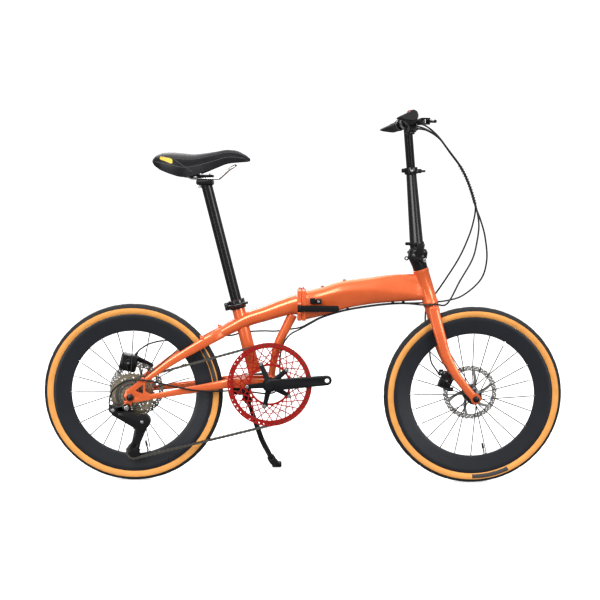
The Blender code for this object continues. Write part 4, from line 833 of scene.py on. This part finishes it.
def link_outline(one, two):
    """A waisted side plate around two pins."""
    lean = atan2(two.y - one.y, two.x - one.x)
    waist = (one + two) / 2
    for centre, turn in ((two, lean), (one, lean + pi)):
        for n in range(7):
            a = turn - pi / 2 + pi * n / 6
            yield Vector((centre.x + 0.0039 * cos(a), 0, centre.y + 0.0039 * sin(a)))
        a = turn + pi / 2
        yield Vector((waist.x + 0.0027 * cos(a), 0, waist.y + 0.0027 * sin(a)))


def chain_links():
    loop = chain_loop()
    ahead = loop[1:] + loop[:1]
    lengths = [(b - a).length for a, b in zip(loop, ahead)]
    total = sum(lengths)
    count = 2 * round(total / PITCH / 2)
    pins, run, k = [], 0.0, 0
    for i in range(count):
        want = total * i / count
        while run + lengths[k] < want:
            run += lengths[k]
            k += 1
        pins.append(loop[k].lerp(ahead[k], (want - run) / lengths[k]))
    bm = bmesh.new()
    for i, (one, two) in enumerate(zip(pins, pins[1:] + pins[:1])):
        gap = 0.0021 if i % 2 else 0.0029
        outline = list(link_outline(one, two))
        size = len(outline)
        for y in (CHAIN_Y - gap, CHAIN_Y + gap):
            near, far = ([bm.verts.new(p + AXIS_Y * (y + s)) for p in outline]
                         for s in (-0.0004, 0.0004))
            for n in range(size):
                m = (n + 1) % size
                bm.faces.new((near[n], near[m], far[m], far[n]))
            bm.faces.new(near[::-1])
            bm.faces.new(far)
        bmesh.ops.create_cone(bm, cap_ends=True, segments=10, radius1=0.0025, radius2=0.0025,
                              depth=0.0062, matrix=aim(AXIS_Y, (one.x, CHAIN_Y, one.y)))
    return from_bm(bm)


stand_in(chain_links(), "chain_links", CHAIN, "chain")

# derailleur: silver parallelogram plate, bolts and pulley bolts
KNEE, HANGER, MID = (-0.46, 0.191), (-0.5035, 0.232), (-0.479, 0.13)
piece(flat_piece([capsule((-0.54, 0.2232), (-0.508, 0.207), 0.0052, 0.004)], -0.0756, -0.0744),
      "derailleur_plate", STEEL, "rear_derailleur")
for name, (x, z), y, radius, height, slot in (
        ("hanger_bolt", HANGER, -0.0859, 0.0066, 0.0016, "rear_derailleur"),
        ("knee_bolt", KNEE, -0.0821, 0.0046, 0.0016, "rear_derailleur"),
        ("link_bolt", (-0.542, 0.225), -0.0849, 0.005, 0.0016, "rear_derailleur"),
        ("guide_bolt", GUIDE.xz, -0.0516, 0.0036, 0.0014, "derailleur_cage"),
        ("tension_bolt", TENSION.xz, -0.0516, 0.0036, 0.0014, "derailleur_cage")):
    bolt(name, (x, y, z), (0, -1, 0), radius, height, slot)
limbs = [flat_piece([capsule(KNEE, MID, 0.019, 0.012)], -0.0562, -0.0524),
         flat_piece([capsule(MID, TENSION.xz, 0.0119, 0.015),
                     capsule((-0.4812, 0.1225), (-0.4858, 0.112), 0.0048, 0.004)], -0.056, -0.0526)]
piece(merge(*limbs), "cage_outer_arm", GLOSS, "derailleur_cage", bevel=0.0006)
body = [flat_piece([capsule((-0.534, 0.22), (-0.468, 0.186), 0.015, 0.0195)], -0.08, -0.0752),
        flat_piece([capsule((-0.52, 0.213), (-0.464, 0.185), 0.0085, 0.012)], -0.0822, -0.0798)]
piece(merge(*body), "derailleur_body", GLOSS, "rear_derailleur", bevel=0.001)
wire = [on_circle(Vector((-0.5665, 0, 0.195)), 0.021, 0.5 + 5.6 * k / 40, -0.08) for k in range(41)]
piece(tube(wire, 0.0006, 8), "loose_inner_wire", STEEL, "shift_cable")

# ---- saddle: stations of x, half width, top and lower edge
SADDLE = table("-433 36 936 926, -426 56 946 917, -407 68 954 904, -375 73 956 892, -345 70 954 885, "
    "-317 58 952 890, -290 44 955 900, -260 33 960 912, -226 25 966 925, -195 21 962 929, "
    "-170 17 950 931, -159 10 941 933")


def at_x(x):
    """The saddle's half width, top and lower edge at an x, read smoothly off its stations."""
    last = len(SADDLE) - 2
    i = next((n for n in range(last) if x <= SADDLE[n + 1][0]), last)
    a, b = SADDLE[i], SADDLE[i + 1]
    p, q = SADDLE[max(i - 1, 0)], SADDLE[min(i + 2, last + 1)]
    return [catmull(p[n], a[n], b[n], q[n], (x - a[0]) / (b[0] - a[0])) for n in (1, 2, 3)]


def on_saddle(x, u, lift=0.0):
    """A point on the saddle's top, u from -1 at the right edge to 1 at the left."""
    wide, top, low = at_x(x)
    y = wide * signed(sin(u * pi / 2), 0.86)
    return Vector((x, y * (1 + lift / wide), low + (top - low) * abs(cos(u * pi / 2)) ** 0.62 + lift))


def saddle_shell():
    """The cover: a crowned top with a shallow channel, over a skirt with a rolled edge."""
    rings = []
    columns = 72
    for i in range(columns + 1):
        t = i / columns
        x = SADDLE[0][0] + 0.274 * (t + 0.012 * sin(TURN * t))
        wide, top, low = at_x(x)
        depth = 0.003 * max(0.0, min(1.0, (t - 0.12) / 0.15, (0.85 - t) / 0.15))
        ring = [on_saddle(x, -1 + k / 24) for k in range(49)]
        for p in ring:
            p.z -= depth * bell(p.y / 0.008)
        for k in range(1, 24):
            u = 1 - k / 12
            rise = 0.315 * (top - low) * (1 - u * u) ** 0.5 + 0.0006
            ring.append(Vector((x, wide * 0.9 * u, low + rise)))
        rings.append(ring)
    return loft(rings)


cover = saddle_shell()
stand_in(cover, "saddle_cover", LEATHER, "saddle", angle=60)
for name, u0, u1, x0, x1 in (("seam", 0.62, 0.55, -0.418, -0.185),
                             ("skirt_seam", 0.86, 0.84, -0.421, -0.175),
                             ("panel_seam", 0.62, 0.97, -0.376, -0.318)):
    for side, tag in ((1, "left"), (-1, "right")):
        line = [on_saddle(x0 + (x1 - x0) * k / 60, side * (u0 + (u1 - u0) * k / 60), 0.0001)
                for k in range(61)]
        piece(tube(line, 0.0009, 8), "saddle_%s_%s" % (name, tag), THREAD, "saddle")
stitches = []
for side in (1, -1):
    for k in range(74):
        x, u = -0.416 + 0.228 * k / 73, side * (0.59 - 0.07 * k / 73)
        a, b = on_saddle(x, u, 0.0005), on_saddle(x + 0.002, u, 0.0005)
        stitches.append(tube([a, (a + b) / 2 + AXIS_Z * 0.0003, b], 0.00035, 6))
piece(merge(*stitches), "saddle_stitches", THREAD, "saddle")
rings = []
for k in range(17):
    x, middle = -0.409 + 0.036 * k / 16, -0.64 - 0.1 * k / 16
    half = 0.085 * min(1.0, (k + 0.6) / 2, (16.6 - k) / 2) ** 0.5
    rings.append([on_saddle(x, middle + half * (n / 4 - 1), 0.0006) for n in range(9)]
                 + [on_saddle(x, middle + half * (1 - n / 4), 0.0001) for n in range(9)])
piece(loft(rings), "saddle_patch_right", YELLOW, "saddle")
piece(loft([[Vector((p.x, -p.y, p.z)) for p in ring] for ring in rings]),
      "saddle_patch_left", YELLOW, "saddle")

# seatpost: a smooth tube with a clamp head, height marks and two bolts
CLAMP_X = POST_TOP.x - 0.001
column = cylinder(POST_R, post(0.008), post(0.5), 64)
cradle = [box((CLAMP_X - x, -y, low), (CLAMP_X + x, y, high), bevel, steps)
          for x, y, low, high, bevel, steps in ((0.024, 0.027, 0.866, 0.8784, 0.0024, 3),
                                                (0.022, 0.0178, 0.864, 0.893, 0.001, 2),
                                                (0.024, 0.027, 0.8867, 0.8935, 0.0022, 3))]
stand_in(join(column, *cradle), "seatpost_forged", BLACK, "seatpost")
for k, x in ((1, CLAMP_X - 0.015), (2, CLAMP_X + 0.015)):
    stem = merge(cylinder(0.003, (x, 0, 0.856), (x, 0, 0.898), 24),
                 cylinder(0.005, (x, 0, 0.856), (x, 0, 0.86), 24, bevel=0.0005),
                 cylinder(0.0048, (x, 0, 0.8936), (x, 0, 0.896), 6))
    piece(stem, "saddle_bolt_%d" % k, STEEL, "seatpost")
MARK = table("16 0, 15.92 0, 15.92 1, 16 1")
marks = [revolve(MARK, post(0.1 + 0.01 * k), 64, POST_DIR) for k in range(11)]
piece(merge(*marks), "seatpost_height_marks", SATIN, "seatpost")

# ---- grips: stations of y, radius, wing
GRIP = table("142 17 0, 147 17 0, 150 15.8 2, 180 15.8 10, 215 15.6 21, 245 15.6 27, 260 15.2 25, "
    "266 13 20")
PLUG = table("0 0, 12.8 0, 13.8 0.6, 13.8 1.4, 12 1.9, 10.5 1.3, 0 1.3")


def bar_point(y):
    return Vector((BAR.x - 0.068 * max(0.0, abs(y) - 0.03), y, BAR.z))


def grip_ring(y, radius, wing, side, index):
    ring = []
    for i in range(72):
        a = TURN * i / 72
        back = max(0.0, -cos(a))
        rib = 0.0004 if index % 3 and i % 3 and 0.152 < y < 0.25 else 0.0
        r = radius + rib - 0.0004
        x = r * cos(a) - wing * back ** 1.5
        z = r * sin(a) * (1 - 0.45 * back * min(1.0, wing / 0.02)) - wing * 0.3 * back
        ring.append(bar_point(side * y) + Vector((x, 0, z)))
    return ring


for name, side in (("left", 1), ("right", -1)):
    slot = "grip_" + name
    rows = [0.142 + 0.124 * i / 84 for i in range(85)]
    body = loft([grip_ring(y, *between(GRIP, y), side, i) for i, y in enumerate(rows)])
    stand_in(body, slot + "_ribbed", RUBBER, slot, angle=60)
    collar = cylinder(0.0172, bar_point(side * 0.141), bar_point(side * 0.1475), 48, bevel=0.0006)
    piece(collar, slot + "_lock_ring", BLACK, slot)
    bolt(slot + "_bolt", bar_point(side * 0.1442) + Vector((0.0165, 0, 0)), (1, 0, 0), 0.0024, 0.0012,
         slot)
    piece(revolve(PLUG, bar_point(side * 0.264), 48, AXIS_Y * side), slot + "_end_plug", GLOSS, slot)


# ---- hoses and cables: points, and which of them lie on a joint
def bundle(y):
    return [(x, y, z) for x, z in table("413 962, 445 920, 468 874, 488 815")]


def under_tube(side):
    return [(x, side * y, z) for x, y, z in table(
        "409 34 533, 375 35 531, 340 27 528, 300 6 529, 256 6 528, 190 6 520.5, 116 6 507, 52 6 487,"
        "18 10 469, -10 17 454")]


ROUTES = (
    ("rear_brake_hose", (5, 8, 12, 21, 24), [
        *table("305.4 56.5 1042, 340 32 1033, 378 12 1007"), *bundle(0.006),
        *table("506 8 772, 521 10 722, 528 12 657, 513 17 599, 462 27 550"), *under_tube(1),
        *table("-39 20 448, -82 19.5 442, -120 20 442, -173 24.5 438, -210 31 427, -240 40 423,"
               "-295 48 406, -345 56 396, -405 62 405, -455 59 396, -484 55 379, -492.4 54.5 369.9")]),
    ("front_brake_hose", (5, 9), [
        *table("305.4 -56.5 1042, 340 -22 1035, 378 -2 1007"), *bundle(0.0),
        *table("482 0 759, 464 2 703, 443 6 656, 413 17 603, 388 33 560, 364 43 526, 358 46 480,"
               "364 45 430, 372 44 391, 378 42 351, 398.4 39.6 319.7")]),
    ("shift_cable", (5, 8, 11, 20, 23), [
        *table("306.8 -69 1026, 340 -40 1022, 378 -12 1002"), *bundle(-0.006),
        *table("498 -10 759, 492 -15 703, 479 -20 657, 445 -28 598"), *under_tube(-1),
        *table("-40 -20 438, -60 -19.5 410, -69 -19.5 370, -69 -19.5 320, -71 -19.5 290, -84 -22 269,"
               "-110 -26 265, -150 -30 270, -200 -34 274, -240 -40.5 274, -280 -49 275, -320 -57 280,"
               "-375 -69 293, -435 -76 308, -487 -80 313, -523 -80 299, -547 -78 274,"
               "-554.8 -75.3 242.4")]))


def cable_run(name, splits, points):
    """Split a hose at the joints it crosses; a stretch on one body rides on it, and one between two bodies
    stays loose.
    """
    spans = [("handlepost_upper", "handlepost_lower"), ("handlepost_lower", "fork")]
    spans += [("fork",)] if len(splits) == 2 else [("fork", "front_frame"), ("front_frame",),
                                                   ("front_frame", "rear_frame"), ("rear_frame",)]
    dense = smooth(points, 0.006)
    marks = [min(range(len(dense)), key=lambda i: (dense[i] - Vector(points[s])).length) for s in splits]
    marks = [0, *marks, len(dense) - 1]
    for k, bodies in enumerate(spans):
        part = dense[marks[k]:marks[k + 1] + 1]
        obj = tube(part, HOSE_R, 14)
        label = "%s_run_%d" % (name, k + 1)
        if len(bodies) == 1:
            stand_in(obj, label, HOSE, name, body=bodies[0])
            continue
        obj.name = obj.data.name = label
        paint(obj, HOSE).data.shade_smooth()
        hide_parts(name)
        part[0]
        part[-1]
        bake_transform(obj)


for route in ROUTES:
    cable_run(*route)

# spiral wrap that holds the bundle together, cable lugs and bosses
wrap = []
middle = table("440 0 927, 456 0 900, 468 0 874, 479 0 845, 487 0 819")
for i, (p, ahead) in enumerate(headings(smooth(middle, 0.0008))):
    up = AXIS_Y.cross(ahead.normalized()).normalized()
    wrap.append(p + AXIS_Y * (0.0103 * cos(i * 0.62)) + up * (0.0046 * sin(i * 0.62)))
piece(tube(wrap, 0.0011, 8), "cable_spiral_wrap", PLASTIC, "shift_cable", "handlepost_lower")

for k, (x, z) in enumerate(((0.256, 0.532), (0.286, 0.5345), (0.125, 0.513))):
    lug = merge(box((x - 0.004, -0.013, z - 0.0012), (x + 0.004, 0.013, z + 0.0012), 0.0005),
                cylinder(0.0018, (x, 0, z - 0.004), (x, 0, z - 0.001), 20, bevel=0.0003))
    piece(lug, "cable_guide_%d" % (k + 1), BLACK, "front_main_tube")
for k, (x, z) in enumerate(((0.052, 0.5745), (0.115, 0.5935))):
    boss = cylinder(0.0048, (x, 0, z - 0.004), (x, 0, z + 0.0018), 32, bevel=0.0005)
    bolt("boss_bolt_%d" % (k + 1), (x, 0, z + 0.0014), (0, 0, 1), 0.004, 0.0022, "front_main_tube",
         GLOSS)
    piece(boss, "boss_%d" % (k + 1), COPPER, "front_main_tube")
for k, (x, y) in enumerate(((-0.244, 0.0), (-0.293, -0.0335))):
    z = skin("seatstays", (x, y, 0.6), (0, 0, -1)).z
    lug = merge(box((x - 0.006, y - 0.0045, z - 0.006), (x + 0.006, y + 0.0045, z + 0.003), 0.001),
                tube([(x - 0.007, y, z + 0.006), (x + 0.007, y, z + 0.001)], 0.0032, 16))
    piece(lug, "tube_lug_%d" % (k + 1), COPPER, "seatstays")


def caliper(which, x, z, y0, y1, lean, radius):
    """Piston caps, cooling ribs and pad pins on a brake caliper."""
    node = which + "_brake_caliper"
    centre = Vector((x, 0, z))
    parts = []
    for y, out in ((y0, -1), (y1, 1)):
        parts.append(across_y(radius, centre, y + out * 0.0016, y - out * 0.0006, bevel=0.0005))
        for k in range(4):
            spot = on_circle(centre, -0.017 + 0.0045 * k, lean, y)
            along = Vector((-sin(lean), 0, cos(lean))) * 0.017
            parts.append(tube([spot - along, spot + along], 0.001, 8))
    piece(merge(*parts), which + "_caliper_ribs", BLACK, node)
    socket = [across_y(0.004, centre, y + out * 0.0026, y, 6) for y, out in ((y0, -1), (y1, 1))]
    piece(merge(*socket), which + "_caliper_caps", STEEL, node)


caliper("rear", -0.518, 0.34, 0.04, 0.0655, radians(-14), 0.011)
caliper("front", 0.4235, 0.296, 0.029, 0.049, radians(-24), 0.0095)

# ---- headset rings, bolts and trim
BAND = table("21.6 0, 22.3 0.3, 22.3 1.1, 21.6 1.4, 20.5 1.4, 20.5 0")
for k, (d, slot) in enumerate(((-0.004, "fork"), (-0.0002, "head_tube"))):
    piece(revolve(BAND, steer(d), 72, STEER_DIR), "headset_ring_%d" % (k + 1), BLACK, slot)
# in millimetres: name, CAD node, a point near it, the way the head faces, radius, height
DETAILS = """catch_pin hinge_catch 40 -41.9 536 0 -1 0 3.4 2
latch_bolt_top rear_main_tube -14 -40 530.6 0 0 1 3.4 1.6
hinge_bolt_top frame_hinge_pin -8 40.5 570.4 0 0 1 5 1.6
seat_clamp_bolt seat_clamp -215 8 516 0 1 0 4 2
front_caliper_bolt_1 front_brake_caliper 408.5 40 319 0 -1 0 3.4 1.6
front_caliper_bolt_2 front_brake_caliper 439 49 268 0 1 0 3.4 1.6
rear_caliper_bolt rear_brake_caliper -456 64 332 0 1 0 3.4 1.6
kickstand_bolt kickstand -166 53 235 -0.141 0.99 0 5 2
stem_bolt_1 handlepost_upper 310.8 -12 1042 1 0 0 3.2 1.8
stem_bolt_2 handlepost_upper 310.8 12 1042 1 0 0 3.2 1.8
stem_bolt_3 handlepost_upper 310.8 -12 1054 1 0 0 3.2 1.8
stem_bolt_4 handlepost_upper 310.8 12 1054 1 0 0 3.2 1.8
base_bolt handlepost_base 344 -30 656 0 -1 0 6.2 2.8
telescope_bolt telescope_clamp 300 -23.4 910 0 -1 0 3.6 1.8"""
for line in DETAILS.splitlines():
    name, slot, *numbers = line.split()
    row = table(" ".join(numbers))[0]
    inward = -Vector(row[3:6]).normalized()
    bolt(name, skin(slot, row[:3], inward) + inward * 0.0004, -inward, *row[6:], slot)
foot = box((-0.092, 0.139, 0.0003), (-0.064, 0.163, 0.006), 0.002, 3)
piece(foot, "kickstand_sole", RUBBER, "kickstand")
sleeve = smooth(table("-96 113 39.5, -90 129 24, -84 143 14"), 0.003)
piece(tube(sleeve, 0.012, 32), "kickstand_sleeve", RUBBER, "kickstand", bevel=0.0015)

# ---- floor, light, camera
FLOOR = material("pale_floor", (0.86, 0.86, 0.86), 0.0, 0.6, 0.01, 3, 0.0)
feed(FLOOR.node_tree.nodes["Principled BSDF"], Emission_Color=(1, 1, 1, 1), Emission_Strength=0.42)
floor = paint(box((-4.5, -3.6, -0.06), (4.5, 3.6, -0.0008), 0), FLOOR)
floor.name = "floor"
floor.visible_diffuse = floor.visible_glossy = False


def studio_world():
    """White behind the object, and for light a soft box: bright above, dimmer low down."""
    world = bpy.data.worlds.new("studio")
    world.use_nodes = True
    tree = world.node_tree
    link = tree.links.new
    plain = feed(tree.nodes["Background"], Color=(1, 1, 1, 1), Strength=1.15)
    split = add(tree, "SeparateXYZ")
    link(add(tree, "TexCoord").outputs["Generated"], split.inputs["Vector"])
    grade = add(tree, "MapRange", From_Min=-0.35, From_Max=0.85, To_Min=0.34, To_Max=1.1)
    grade.interpolation_type = "SMOOTHSTEP"
    link(split.outputs["Z"], grade.inputs["Value"])
    lit = add(tree, "Background")
    link(grade.outputs["Result"], lit.inputs["Strength"])
    mix = add(tree, "MixShader")
    link(add(tree, "LightPath").outputs["Is Camera Ray"], mix.inputs["Fac"])
    link(lit.outputs["Background"], mix.inputs[1])
    link(plain.outputs["Background"], mix.inputs[2])
    link(mix.outputs["Shader"], tree.nodes["World Output"].inputs["Surface"])
    bpy.context.scene.world = world


def placed(name, data, right, up, back, place):
    """A new light or camera at a place, turned to three directions."""
    obj = spawn(name, data)
    obj.matrix_world = Matrix.Translation(place) @ Matrix((right, up, back)).transposed().to_4x4()
    return obj


studio_world()
bpy.context.scene.view_settings.view_transform = "Standard"
for name, place, size, power in (
        ("key", (-1.2, -3.0, 2.6), 1.8, 120), ("fill", (2.6, -2.4, 1.7), 1.2, 45),
        ("top", (0.2, 0.6, 3.4), 2.6, 62), ("back", (-0.8, 3.0, 2.6), 2.0, 48)):
    lamp = bpy.data.lights.new(name, "AREA")
    lamp.energy, lamp.size = power, size
    spawn(name, lamp).matrix_world = aim(Vector(place) - Vector((0, 0, 0.5)), place)
for name, place, width, height, power in (("strip_left", (-1.9, -2.3, 0.9), 0.32, 2.6, 15),
                                          ("strip_right", (1.8, -2.4, 0.9), 0.26, 2.4, 9)):
    lamp = bpy.data.lights.new(name, "AREA")
    lamp.shape, lamp.size, lamp.size_y, lamp.energy = "RECTANGLE", width, height, power
    back = (Vector(place) - Vector((0, 0, 0.6))).normalized()
    across = AXIS_Z.cross(back).normalized()
    placed(name, lamp, across, back.cross(across), back, place)

YAW, DOWN, ROLL = -0.0098, 0.1075, 0.0101
forward = Vector((-sin(YAW) * cos(DOWN), cos(YAW) * cos(DOWN), -sin(DOWN)))
right = Vector((cos(YAW), sin(YAW), 0))
up = right.cross(forward)
right, up = right * cos(ROLL) + up * sin(ROLL), up * cos(ROLL) - right * sin(ROLL)
lens = bpy.data.cameras.new("camera")
lens.lens, lens.sensor_width = 60.4, 36
bpy.context.scene.camera = placed("camera", lens, right, up, -forward, (-0.0412, -2.9, 0.849))
